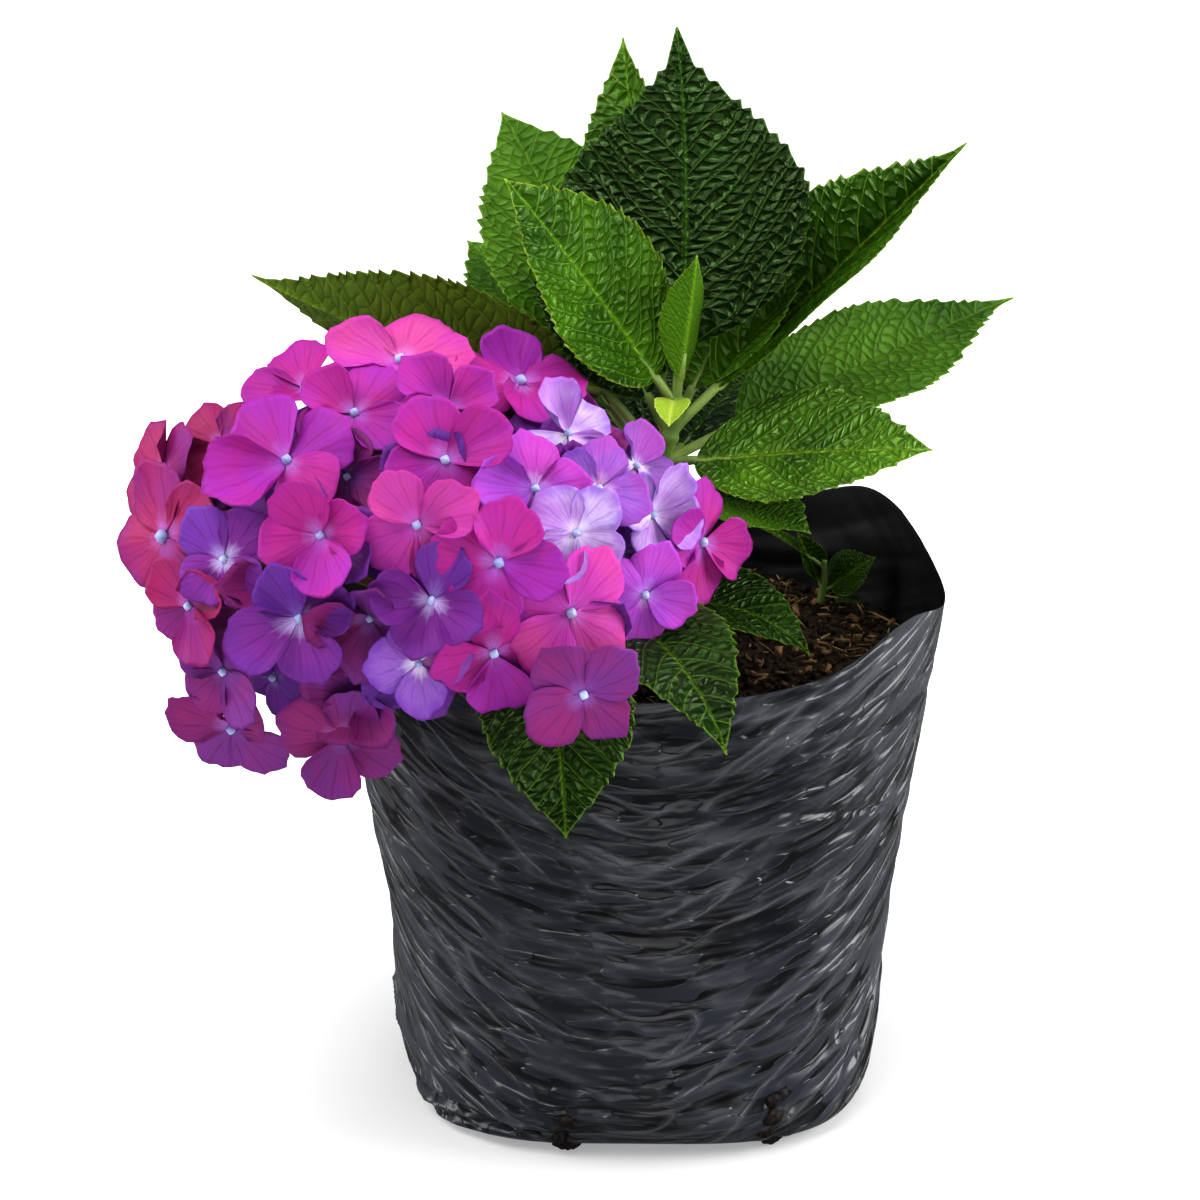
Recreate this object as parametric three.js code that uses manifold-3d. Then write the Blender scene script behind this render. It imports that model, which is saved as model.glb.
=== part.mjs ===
// A mophead hydrangea in a black polythene grow bag: one leafy shoot that stands up right of the
// middle, and one flowering stem whose big head leans over the bag's front left rim.
// Millimetres, +Z up, +X right, the front of the plant towards -Y. The origin is the middle of the
// bag's flat underside. The plant's masses grow by rule from the named rows below.
import * as THREE from "three";
import { mergeVertices } from "three/addons/utils/BufferGeometryUtils.js";
import Module from "manifold-3d";

const wasm = await Module();
wasm.setup();

// ---- Driving dimensions ----------------------------------------------------------------------

const GAP = 0.3; // clearance between pieces that touch in life

// The bag: a round mouth, a body that tapers down, and a base drawn in to a rounded square.
const BAG = {
  height: 197,
  mouthRadius: 116,
  waistRadius: 93, // just above the base
  waistHeight: 40,
  baseHalfWidth: 78,
  baseHalfDepth: 68,
  baseSquareness: 4, // exponent of the base outline: 2 is an ellipse, more is squarer
  wall: 1.4,
  floor: 2,
  sides: 40,
};

// The two places where the rim stands up: bearing from +X in degrees, rise, and half-spread.
const RIM_PEAKS = [
  { bearing: -33, rise: 12, spread: 17 },
  { bearing: 36, rise: 18, spread: 20 },
];

const SOIL = { edgeHeight: 170, crownHeight: 175, crownRadius: 30 };

// Points along each stem, foot first, with the radius there.
const MAIN_STEM = [
  { at: [-2, -4, 175.3], radius: 9.5 },
  { at: [-2, -4, 178], radius: 7 },
  { at: [-2.6, -5.4, 183], radius: 5.6 },
  { at: [-3, -6, 192], radius: 5 },
];
const LEAFY_AXIS = [
  [-3, -6, 192],
  [0, -4, 214],
  [4, -2, 236],
  [12, 0, 262],
  [14, -1, 274],
];
const FLOWER_AXIS = [
  [-4, -9, 184],
  [-22, -34, 198],
  [-36, -47, 206],
  [-60, -54, 211],
  [-72, -55, 216],
];
const STEM_RADIUS = { foot: 4.6, tip: 2.6 };
const LEAFY_TIERS = [233, 256, 267]; // heights where one leaf tier's stem ends and the next starts
const FLOWER_TIERS = [192, 207]; // the same along the flowering stem

// A leaf: its node's height on the stem, the stalk's bearing and pitch, the stalk's length, the
// blade's length and width, and its bends in degrees. kink: how far the blade bends down from the
// stalk; arch, sway: how far it curves down and left along its length; roll: its turn about the
// midrib; fold: how far each half rises from the midrib; tip: how fast it narrows to its tip.
const leaf = (node, [bearing, pitch], stalk, [length, width], bends) => ({
  node,
  bearing,
  pitch,
  stalk,
  length,
  width,
  kink: 0,
  arch: 0,
  sway: 0,
  roll: 0,
  fold: 0,
  tip: 1,
  ...bends,
});
const LOWER_LEAVES = [
  leaf(250, [172, 50], 34, [145, 66], { kink: 42, arch: -24, roll: 58, fold: 12, tip: 1.3 }),
  leaf(248, [22, 20], 34, [122, 70], { arch: 4, roll: 12, fold: 6, tip: 1.4 }),
  leaf(248, [-22, 12], 14, [92, 58], { arch: 8, roll: 30, fold: 10 }),
  leaf(240, [-36, 2], 16, [54, 40], { arch: 20, roll: 10, fold: 10 }),
  leaf(244, [138, 41], 32, [92, 64], { arch: 14, roll: -10, fold: 12 }),
  leaf(241, [66, 14], 26, [104, 70], { arch: 22, fold: 10 }),
  leaf(239, [104, 17], 20, [88, 58], { arch: 26, fold: 10 }),
];
const UPPER_LEAVES = [
  leaf(258, [136, 53], 24, [118, 78], { arch: 6, roll: -20, fold: 10 }),
  leaf(260, [16, 42], 24, [130, 66], { roll: 36, fold: 50, tip: 1.3 }),
  leaf(258, [102, 58], 24, [135, 56], { roll: -50, fold: 24 }),
  leaf(257, [50, 50], 22, [94, 62], { fold: 10 }),
  leaf(260, [164, 56], 16, [78, 54], { arch: 6, roll: -30, fold: 12 }),
];
const TIP_LEAVES = [
  leaf(269, [70, 78], 24, [117, 94], { arch: 4, sway: 10, roll: 15, fold: 8, tip: 1.85 }),
  leaf(270, [-158, 56], 14, [98, 60], { arch: 8, roll: -62, fold: 14 }),
  leaf(272, [-60, 76], 10, [50, 24], { arch: -6, roll: -10, fold: 46 }),
  leaf(273, [-100, 12], 5, [18, 14], { arch: 70, fold: 20 }),
];
const FLOWER_LEAVES = [
  leaf(194, [-24, 24], 18, [74, 46], { arch: 75, roll: 10, fold: 10, tip: 1.1 }),
  leaf(200, [-62, 20], 20, [100, 50], { arch: 80, roll: 5, fold: 10, tip: 1.1 }),
  leaf(206, [-86, 0], 44, [82, 54], { arch: 90, sway: 4, fold: 8, tip: 1.1 }),
];
const BASAL_LEAVES = [
  leaf(176, [-20, 42], 4, [23, 20], { arch: 12, roll: 55, fold: 14 }),
  leaf(177, [165, 66], 4, [22, 15], { roll: -40, fold: 40 }),
  leaf(175, [-45, 8], 8, [12, 11], { arch: 10, fold: 8 }),
  leaf(187, [170, 36], 6, [30, 10], { arch: 18, fold: 16 }),
];
const BASAL_AXIS = [
  [73, 55, 171.65],
  [74, 55, 180],
  [74, 54, 190],
];
const BASAL_GIRTH = 0.4; // of the other stems' radii
const BLADE = {
  widest: 0.45, // share of the length where it is widest
  footPower: 0.66,
  tipDraw: 0.2, // how much faster it narrows at the very tip
  stations: [0, 0.08, 0.25, 0.45, 0.67, 0.83, 0.95, 1],
  thickness: 1 / 60, // of the length, at the midrib
};
const STALK_RADIUS = 2.1;

// The flower head: florets stand out from a middle on stalks, over an egg-shaped dome.
const HEAD = {
  middle: [-80, -57, 226],
  reach: [93, 74, 66], // half-extents of the surface that the florets' middles lie on
  hub: [-80, -56, 214], // where the head's branches part
  lean: 0.8, // how far the florets turn from the dome's own slope to the light in front
  rise: 0.9, // how far those below the middle turn up, as a share of that lean and their droop
};
// Florets that show from the front. side: bearing from the front, + to the right; up: height
// angle; out: reach beyond the dome; size: radius.
const FLORETS = [
  { side: -165, up: 76, out: 1.12, size: 25 },
  { side: -123, up: 60, out: 1.06, size: 20 },
  { side: -47, up: 72, out: 1.0, size: 20 },
  { side: -45, up: 50, out: 1.02, size: 22 },
  { side: -102, up: 40, out: 1.02, size: 19 },
  { side: -98, up: 26, out: 1.12, size: 20 },
  { side: -78, up: 15, out: 1.02, size: 27 },
  { side: -22, up: 30, out: 1.0, size: 19 },
  { side: -24, up: 5, out: 1.0, size: 20 },
  { side: 2, up: 34, out: 1.02, size: 20 },
  { side: 12, up: 54, out: 1.02, size: 21 },
  { side: 125, up: 64, out: 1.08, size: 23 },
  { side: 38, up: 42, out: 1.0, size: 19 },
  { side: 42, up: 27, out: 1.02, size: 18 },
  { side: 20, up: 22, out: 1.03, size: 22 },
  { side: 35, up: 5, out: 1.03, size: 22 },
  { side: 60, up: 37, out: 1.0, size: 18 },
  { side: 100, up: 32, out: 1.0, size: 17 },
  { side: 78, up: 54, out: 1.0, size: 17 },
  { side: 90, up: 8, out: 1.1, size: 21 },
  { side: 80, up: 22, out: 0.98, size: 17 },
  { side: 60, up: 3, out: 1.0, size: 18 },
  { side: 5, up: 12, out: 0.98, size: 18 },
  { side: 2, up: -8, out: 0.98, size: 16 },
  { side: 18, up: -5, out: 1.0, size: 20 },
  { side: 30, up: -11, out: 1.3, size: 19 },
  { side: -47, up: 18, out: 1.0, size: 18 },
  { side: -58, up: 0, out: 1.0, size: 18 },
  { side: -59, up: -42, out: 1.12, size: 20 },
  { side: -21, up: -41, out: 1.02, size: 19 },
  { side: -50, up: -20, out: 1.0, size: 18 },
];
const FILL = {
  candidates: 140, // directions tried, spread by the golden angle
  lowest: -0.55, // sine of the lowest height angle
  spacing: 31, // least distance between two florets
  size: 19,
  shootClearance: 27, // from the leafy shoot's axis
  rimClearance: 20, // above and outside the bag's rim
};
// A floret's outline, as angle from a sepal's middle and share of its size, from notch to notch.
const SEPAL = {
  outline: [
    [-45, 0.42],
    [-30, 0.92],
    [0, 1],
    [30, 0.92],
  ],
  cup: 0.16, // how far the sepals' ends stand forward, as a share of the size
  thickness: 1.6, // at the middle
};
const BRANCHES = 9;

// ---- Vector helpers --------------------------------------------------------------------------

const vector = (list) => new THREE.Vector3(...list);
const radians = THREE.MathUtils.degToRad;
const turned = (v, axis, degrees) => v.clone().applyAxisAngle(axis, radians(degrees));
const along = (v, direction, distance) => v.clone().addScaledVector(direction, distance);

/** A repeatable random number from 0 to 1. */
function seeded(seed) {
  let state = seed;
  return () => {
    state = (state * 16807) % 2147483647;
    return state / 2147483647;
  };
}

/** The point of a polyline at one height. */
function atHeight(axis, height) {
  let k = 1;
  while (k < axis.length - 1 && axis[k][2] < height) {
    k += 1;
  }
  const low = vector(axis[k - 1]);
  const high = vector(axis[k]);
  return low.lerp(high, (height - low.z) / (high.z - low.z));
}

/** The stretch of a polyline between two heights, with both ends. */
function stretch(axis, from, to) {
  const inside = axis.filter((point) => point[2] > from + 1 && point[2] < to - 1);
  return [atHeight(axis, from), ...inside.map(vector), atHeight(axis, to)];
}

// ---- Solids ----------------------------------------------------------------------------------

function solidOf(points, faces) {
  const vertProperties = new Float32Array(points.flatMap((p) => [p.x, p.y, p.z]));
  const triVerts = new Uint32Array(faces.flat());
  return new wasm.Manifold(new wasm.Mesh({ numProp: 3, vertProperties, triVerts }));
}

/** A closed skin over rings of points. A ring of one point is a tip; other end rings are capped. */
function loft(rings) {
  const points = rings.flat();
  const faces = [];
  let start = 0;
  for (let k = 0; k + 1 < rings.length; k += 1) {
    const low = rings[k].length;
    const high = rings[k + 1].length;
    const next = start + low;
    const count = Math.max(low, high);
    for (let i = 0; i < count; i += 1) {
      const j = (i + 1) % count;
      if (low > 1) faces.push([start + i, start + j, next + (high > 1 ? j : 0)]);
      if (high > 1) faces.push([start + (low > 1 ? i : 0), next + j, next + i]);
    }
    start = next;
  }
  const cap = (first, count, flip) => {
    const ring = points.slice(first, first + count);
    const middle = ring.reduce((sum, p) => sum.add(p), new THREE.Vector3());
    points.push(middle.divideScalar(count));
    const hub = points.length - 1;
    for (let i = 0; i < count; i += 1) {
      const j = (i + 1) % count;
      faces.push(flip ? [hub, first + j, first + i] : [hub, first + i, first + j]);
    }
  };
  const last = rings.at(-1).length;
  if (rings[0].length > 1) cap(0, rings[0].length, true);
  if (last > 1) cap(start, last, false);
  const solid = solidOf(points, faces);
  return solid.volume() > 0 ? solid : solidOf(points, faces.map(([a, b, c]) => [a, c, b]));
}

/** A round limb along points, with one radius for each and a chosen number of sides. */
function limb(points, radii, sides) {
  const heading = points.map((p, i) => {
    const before = points[Math.max(i - 1, 0)];
    const after = points[Math.min(i + 1, points.length - 1)];
    return after.clone().sub(before).normalize();
  });
  const first = Math.abs(heading[0].z) < 0.9 ? new THREE.Vector3(0, 0, 1) : new THREE.Vector3(1, 0, 0);
  let across = first.cross(heading[0]).normalize();
  const rings = points.map((p, i) => {
    across = along(across, heading[i], -across.dot(heading[i])).normalize();
    return Array.from({ length: sides }, (_, s) =>
      along(p, turned(across, heading[i], (360 * s) / sides), radii[i]),
    );
  });
  return loft(rings);
}

/** Joins solids, keeps the one main body and fills any sealed hollow in it. */
function fused(solids) {
  const whole = solids.reduce((sum, solid) => sum.add(solid));
  const bodies = whole.decompose();
  return bodies.reduce((a, b) => (a.volume() > b.volume() ? a : b));
}

function geometryOf(solid) {
  const { vertProperties, triVerts } = solid.getMesh();
  const geometry = new THREE.BufferGeometry();
  geometry.setAttribute("position", new THREE.BufferAttribute(vertProperties, 3));
  geometry.setIndex(new THREE.BufferAttribute(triVerts, 1));
  return mergeVertices(geometry, 1e-3);
}

const plant = new THREE.Group();

function piece(name, solid, color, roughness) {
  const material = new THREE.MeshStandardMaterial({ color, roughness, metalness: 0 });
  const mesh = new THREE.Mesh(geometryOf(solid), material);
  mesh.name = name;
  plant.add(mesh);
}

// ---- Bag and soil ----------------------------------------------------------------------------

function rimRise(bearing) {
  return RIM_PEAKS.reduce((sum, peak) => {
    const away = THREE.MathUtils.euclideanModulo(bearing - peak.bearing + 180, 360) - 180;
    return sum + peak.rise * Math.exp(-((away / peak.spread) ** 2));
  }, 0);
}

const FLOOR_SHARE = BAG.floor / BAG.height;
const SOIL_SHARE = SOIL.edgeHeight / BAG.height;
const BODY_SHARES = [0.035, 0.07, 0.14, 0.21, 0.4, 0.62, SOIL_SHARE];

/** The bag's outline at a share of its height, from the underside 0 to the rim 1. */
function bagRing(share, inset, raise = 0) {
  const { waistHeight, sides } = BAG;
  const level = share * BAG.height;
  const blend = Math.min(level / waistHeight, 1);
  const round = Math.sqrt(1 - (1 - blend) ** 2);
  const flare = Math.max(level - waistHeight, 0) / (BAG.height - waistHeight);
  const radius = THREE.MathUtils.lerp(BAG.waistRadius, BAG.mouthRadius, flare);
  const halfWidth = THREE.MathUtils.lerp(BAG.baseHalfWidth, radius, round) - inset;
  const halfDepth = THREE.MathUtils.lerp(BAG.baseHalfDepth, radius, round) - inset;
  const power = THREE.MathUtils.lerp(BAG.baseSquareness, 2, round);
  return Array.from({ length: sides }, (_, s) => {
    const bearing = (360 * s) / sides;
    const c = Math.cos(radians(bearing));
    const d = Math.sin(radians(bearing));
    const stretchOut = (Math.abs(c) ** power + Math.abs(d) ** power) ** (-1 / power);
    const lifted = rimRise(bearing) * THREE.MathUtils.smoothstep(share, SOIL_SHARE, 1);
    const z = level + lifted + raise;
    return new THREE.Vector3(halfWidth * c * stretchOut, halfDepth * d * stretchOut, z);
  });
}

function growBag() {
  const shares = [FLOOR_SHARE, ...BODY_SHARES, 1];
  const outside = [0, ...shares].map((share) => bagRing(share, 0));
  const inside = shares.reverse().map((share) => bagRing(share, BAG.wall));
  return loft([...outside, ...inside]);
}

function soil() {
  const inset = BAG.wall + GAP;
  const floor = bagRing(FLOOR_SHARE, inset, GAP);
  const body = BODY_SHARES.map((share) => bagRing(share, inset));
  const crown = body.at(-1).map((p) => {
    const share = SOIL.crownRadius / Math.hypot(p.x, p.y);
    return new THREE.Vector3(p.x * share, p.y * share, SOIL.crownHeight);
  });
  return loft([crown, ...body.reverse(), floor]); // top down, as the bag's inside is
}

// ---- Stems -----------------------------------------------------------------------------------

function stemSection(axis, from, to, girth = 1) {
  const points = stretch(axis, from, to);
  const low = axis[0][2];
  const high = axis.at(-1)[2];
  const radii = points.map(
    (p) => girth * THREE.MathUtils.lerp(STEM_RADIUS.foot, STEM_RADIUS.tip, (p.z - low) / (high - low)),
  );
  return limb(points, radii, 8);
}

/** The main stem, or that stem grown all round as the clearance that its boughs are cut with. */
function mainStem(grow = 0) {
  const points = MAIN_STEM.map((section) => vector(section.at));
  points.at(-1).z += grow;
  return limb(points, MAIN_STEM.map((section) => section.radius + grow), 10);
}

// ---- Leaves ----------------------------------------------------------------------------------

/** Half-width of a blade as a share of its greatest. */
function bladeShare(t, tip) {
  const { widest, footPower, tipDraw } = BLADE;
  if (t < widest) {
    return (1 - ((t - widest) / widest) ** 2) ** footPower;
  }
  const x = (t - widest) / (1 - widest);
  return Math.max(Math.cos((Math.PI / 2) * x), 0) ** (tip + tipDraw * x ** 3);
}

/** The midrib's points and frames, from the stalk's foot to the tip. */
function midrib(row, axis) {
  const { bearing, pitch, stalk, length, arch, roll, sway, kink } = row;
  const flat = radians(bearing);
  const climb = radians(pitch);
  let ahead = new THREE.Vector3(
    Math.cos(climb) * Math.cos(flat),
    Math.cos(climb) * Math.sin(flat),
    Math.sin(climb),
  );
  let left = new THREE.Vector3(-Math.sin(flat), Math.cos(flat), 0);
  const foot = atHeight(axis, row.node);
  let at = along(foot, ahead, stalk);
  ahead = turned(ahead, left, kink);
  left = turned(left, ahead, roll);
  let above = ahead.clone().cross(left);
  const steps = 24;
  const rib = [{ t: 0, at, ahead, left, above }];
  for (let i = 0; i < steps; i += 1) {
    const middle = (i + 0.5) / steps;
    const down = (arch / steps) * (0.6 + 0.8 * middle);
    ahead = turned(ahead, left, down);
    above = turned(above, left, down);
    ahead = turned(ahead, above, sway / steps);
    left = turned(left, above, sway / steps);
    at = along(at, ahead, length / steps);
    rib.push({ t: (i + 1) / steps, at, ahead, left, above });
  }
  return { foot, rib };
}

function leafSolid(row, axis) {
  const { foot, rib } = midrib(row, axis);
  const half = row.width / 2;
  const thick = (row.length * BLADE.thickness) / 2;
  const fold = radians(row.fold);
  const rings = BLADE.stations.map((t) => {
    const { at, left, above } = rib[Math.round(t * (rib.length - 1))];
    const reach = half * bladeShare(t, row.tip);
    const spot = (share, face) => {
      const out = Math.abs(share) * reach;
      const skin = face * thick * (1 - share * share) * Math.min(1, reach / thick);
      const wide = along(at, left, Math.sign(share) * out * Math.cos(fold));
      return along(wide, above, out * Math.sin(fold) + skin);
    };
    if (reach < 0.5) return [at];
    const top = [1, 0.5, 0, -0.5].map((share) => spot(share, 1));
    const under = [-1, -0.5, 0, 0.5].map((share) => spot(share, -1));
    return [...top, ...under];
  });
  const stalkEnd = rib[Math.round(0.45 * (rib.length - 1))];
  const sunk = (r) => along(r.at, r.above, -0.6 * thick);
  const stalkPoints = [foot, foot.clone().lerp(rib[0].at, 0.5), rib[0].at, sunk(rib[5]), sunk(stalkEnd)];
  const scale = Math.min(1, row.length / 70) * STALK_RADIUS;
  const stalk = limb(stalkPoints, [1.15, 0.9, 0.85, 0.6, 0.3].map((share) => share * scale), 6);
  return [loft(rings), stalk];
}

/** A tier of leaves on its own length of stem. */
function leafTier(leaves, axis, from, to, girth = 1) {
  const stem = stemSection(axis, from, to, girth);
  return fused([stem, ...leaves.flatMap((row) => leafSolid(row, axis))]);
}

// ---- Flower head -----------------------------------------------------------------------------

/** A direction on the head, and the floret's place in that direction. */
function floretPlace({ side, up, out, size }) {
  const flat = radians(side);
  const climb = radians(up);
  const toward = new THREE.Vector3(
    Math.cos(climb) * Math.sin(flat),
    -Math.cos(climb) * Math.cos(flat),
    Math.sin(climb),
  );
  const offset = toward.clone().multiply(vector(HEAD.reach)).multiplyScalar(out);
  const slope = toward.clone().divide(vector(HEAD.reach)).normalize();
  const lean = HEAD.lean * Math.min(1, (1 - slope.y) / 0.8); // none at the back
  const rise = HEAD.rise * lean * Math.max(0, -slope.z);
  const facing = slope.add(new THREE.Vector3(0, -lean, rise)).normalize();
  return { at: vector(HEAD.middle).add(offset), facing, size };
}

/** Whether a floret would lie in the bag's rim or in the leafy shoot. */
function blocked(at) {
  const overBag = Math.hypot(at.x, at.y) < BAG.mouthRadius + FILL.rimClearance;
  const onRim = overBag && at.z < BAG.height + FILL.rimClearance;
  const shoot = atHeight(LEAFY_AXIS, Math.min(at.z, 274));
  const nearShoot = Math.hypot(at.x - shoot.x, at.y - shoot.y) < FILL.shootClearance;
  return onRim || nearShoot;
}

/** The named florets, and those that a golden-angle walk adds where there is room. */
function allFlorets() {
  const placed = FLORETS.map(floretPlace);
  const goldenAngle = 180 * (3 - Math.sqrt(5));
  for (let k = 0; k < FILL.candidates; k += 1) {
    const sine = THREE.MathUtils.lerp(FILL.lowest, 0.98, (k + 0.5) / FILL.candidates);
    const up = THREE.MathUtils.radToDeg(Math.asin(sine));
    const floret = floretPlace({ side: k * goldenAngle, up, out: 1, size: FILL.size });
    const crowded = placed.some((other) => other.at.distanceTo(floret.at) < FILL.spacing);
    if (!crowded && !blocked(floret.at)) placed.push(floret);
  }
  return placed;
}

/** One floret: four broad sepals in one lens-shaped body, on its stalk. */
function floret({ at, facing, size }, spin, root) {
  const level = Math.abs(facing.z) < 0.9 ? new THREE.Vector3(0, 0, 1) : new THREE.Vector3(0, -1, 0);
  const first = turned(level.cross(facing).normalize(), facing, spin);
  const outline = [0, 90, 180, 270].flatMap((quarter) =>
    SEPAL.outline.map(([angle, share]) => {
      const outward = turned(first, facing, quarter + angle);
      return along(along(at, outward, share * size), facing, SEPAL.cup * size * share * share);
    }),
  );
  const face = along(at, facing, SEPAL.thickness / 2);
  const back = along(at, facing, -SEPAL.thickness / 2);
  const neck = along(at, facing, -0.25 * size);
  const stalk = limb([root, neck, at], [1, 0.9, 1.2], 3);
  return [loft([[back], outline, [face]]), stalk];
}

function flowerHead() {
  const random = seeded(71);
  const hub = vector(HEAD.hub);
  const florets = allFlorets();
  const peduncle = stretch(FLOWER_AXIS, FLOWER_TIERS[1] + GAP, FLOWER_AXIS.at(-1)[2]);
  const solids = [limb([...peduncle, hub], [...peduncle.map(() => 3.4), 2.6], 8)];
  const ends = Array.from({ length: BRANCHES }, (_, k) => {
    const side = k * 180 * (3 - Math.sqrt(5));
    const up = THREE.MathUtils.lerp(-25, 75, k / (BRANCHES - 1));
    return floretPlace({ side, up, out: 0.5, size: 0 }).at;
  });
  ends.forEach((end) => solids.push(limb([hub, end], [2, 1.5], 4)));
  florets.forEach((place) => {
    const root = ends.reduce((a, b) => (a.distanceTo(place.at) < b.distanceTo(place.at) ? a : b));
    solids.push(...floret(place, 90 * random(), root));
  });
  return fused(solids);
}

// ---- The plant -------------------------------------------------------------------------------

const [lowTier, middleTier, highTier] = LEAFY_TIERS;
const fork = mainStem(GAP);
const leafyStem = stemSection(LEAFY_AXIS, LEAFY_AXIS[0][2], lowTier).subtract(fork);
const flowerStem = stemSection(FLOWER_AXIS, FLOWER_AXIS[0][2], FLOWER_TIERS[0]).subtract(fork);

piece("grow_bag", growBag(), 0x1b1c20, 0.45);
piece("soil", soil(), 0x2e2118, 0.95);
piece("main_stem", mainStem(), 0x6b5a3c, 0.8);
piece("leafy_stem", leafyStem, 0x6f8a3e, 0.6);
piece("flower_stem", flowerStem, 0x6f8a3e, 0.6);
piece("lower_leaves", leafTier(LOWER_LEAVES, LEAFY_AXIS, lowTier + GAP, middleTier), 0x2f5a26, 0.45);
piece("upper_leaves", leafTier(UPPER_LEAVES, LEAFY_AXIS, middleTier + GAP, highTier), 0x356a28, 0.45);
piece("tip_leaves", leafTier(TIP_LEAVES, LEAFY_AXIS, highTier + GAP, 274), 0x2c6426, 0.4);
const flowerLeaves = leafTier(FLOWER_LEAVES, FLOWER_AXIS, FLOWER_TIERS[0] + GAP, FLOWER_TIERS[1]);
piece("flower_stem_leaves", flowerLeaves, 0x2c5a22, 0.45);
piece("flower_head", flowerHead(), 0xb83a9a, 0.6);
const basalShoot = leafTier(BASAL_LEAVES, BASAL_AXIS, BASAL_AXIS[0][2], 190, BASAL_GIRTH);
piece("basal_shoot", basalShoot, 0x3c6a2a, 0.5);

export default plant;
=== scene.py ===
"""A mophead hydrangea in a black polythene grow bag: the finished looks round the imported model.

The limbs, leaves and florets grow by the same rules and rows as the part's source, carried to a
finer mesh. Sizes here are in millimetres and degrees, and to_piece() turns them into metres.
"""

import math
from types import SimpleNamespace

import bpy
import numpy as np
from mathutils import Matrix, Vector, noise


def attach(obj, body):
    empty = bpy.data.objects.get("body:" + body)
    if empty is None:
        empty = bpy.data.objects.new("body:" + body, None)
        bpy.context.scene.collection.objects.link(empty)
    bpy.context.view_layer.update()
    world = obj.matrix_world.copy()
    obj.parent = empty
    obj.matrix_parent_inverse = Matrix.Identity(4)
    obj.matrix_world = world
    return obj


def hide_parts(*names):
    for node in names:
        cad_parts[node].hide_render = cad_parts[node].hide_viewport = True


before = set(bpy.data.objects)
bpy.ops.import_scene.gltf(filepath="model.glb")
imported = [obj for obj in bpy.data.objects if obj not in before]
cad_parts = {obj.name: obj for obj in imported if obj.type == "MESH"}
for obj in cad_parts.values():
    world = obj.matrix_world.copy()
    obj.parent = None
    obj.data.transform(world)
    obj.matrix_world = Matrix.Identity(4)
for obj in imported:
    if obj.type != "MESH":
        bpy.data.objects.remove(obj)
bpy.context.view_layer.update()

MM = 0.001

# ---- Rows and sizes shared with the part's source ----

BAG = {
    "height": 197,
    "mouth_radius": 116,
    "waist_radius": 93,
    "waist_height": 40,
    "base_half_width": 78,
    "base_half_depth": 68,
    "base_squareness": 4,
}
RIM_PEAKS = [(-33, 12, 17), (36, 18, 20)]  # bearing, rise, half-spread
SOIL_EDGE, SOIL_CROWN, SOIL_CROWN_RADIUS, SOIL_RADIUS = 170, 175, 30, 108

MAIN_STEM = [(-2, -4, 175.3, 9.5), (-2, -4, 178, 7), (-2.6, -5.4, 183, 5.6), (-3, -6, 192, 5)]
LEAFY_AXIS = [(-3, -6, 192), (0, -4, 214), (4, -2, 236), (12, 0, 262), (14, -1, 274)]
FLOWER_AXIS = [(-4, -9, 184), (-22, -34, 198), (-36, -47, 206), (-60, -54, 211), (-72, -55, 216)]
BASAL_AXIS = [(73, 55, 171.65), (74, 55, 180), (74, 54, 190)]
STEM_FOOT, STEM_TIP, BASAL_GIRTH = 4.6, 2.6, 0.4
LEAF_NODES = (240, 248, 258, 269)  # heights where the leafy stem swells


def leaf(node, way, stalk, size, look, **bends):
    """A leaf row: node height, (bearing, pitch), stalk length, (length, width), look and bends."""
    row = SimpleNamespace(node=node, bearing=way[0], pitch=way[1], stalk=stalk, look=look)
    row.length, row.width = size
    row.kink = row.arch = row.sway = row.roll = row.fold = 0
    row.tip = 1.0
    vars(row).update(bends)
    return row


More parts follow.
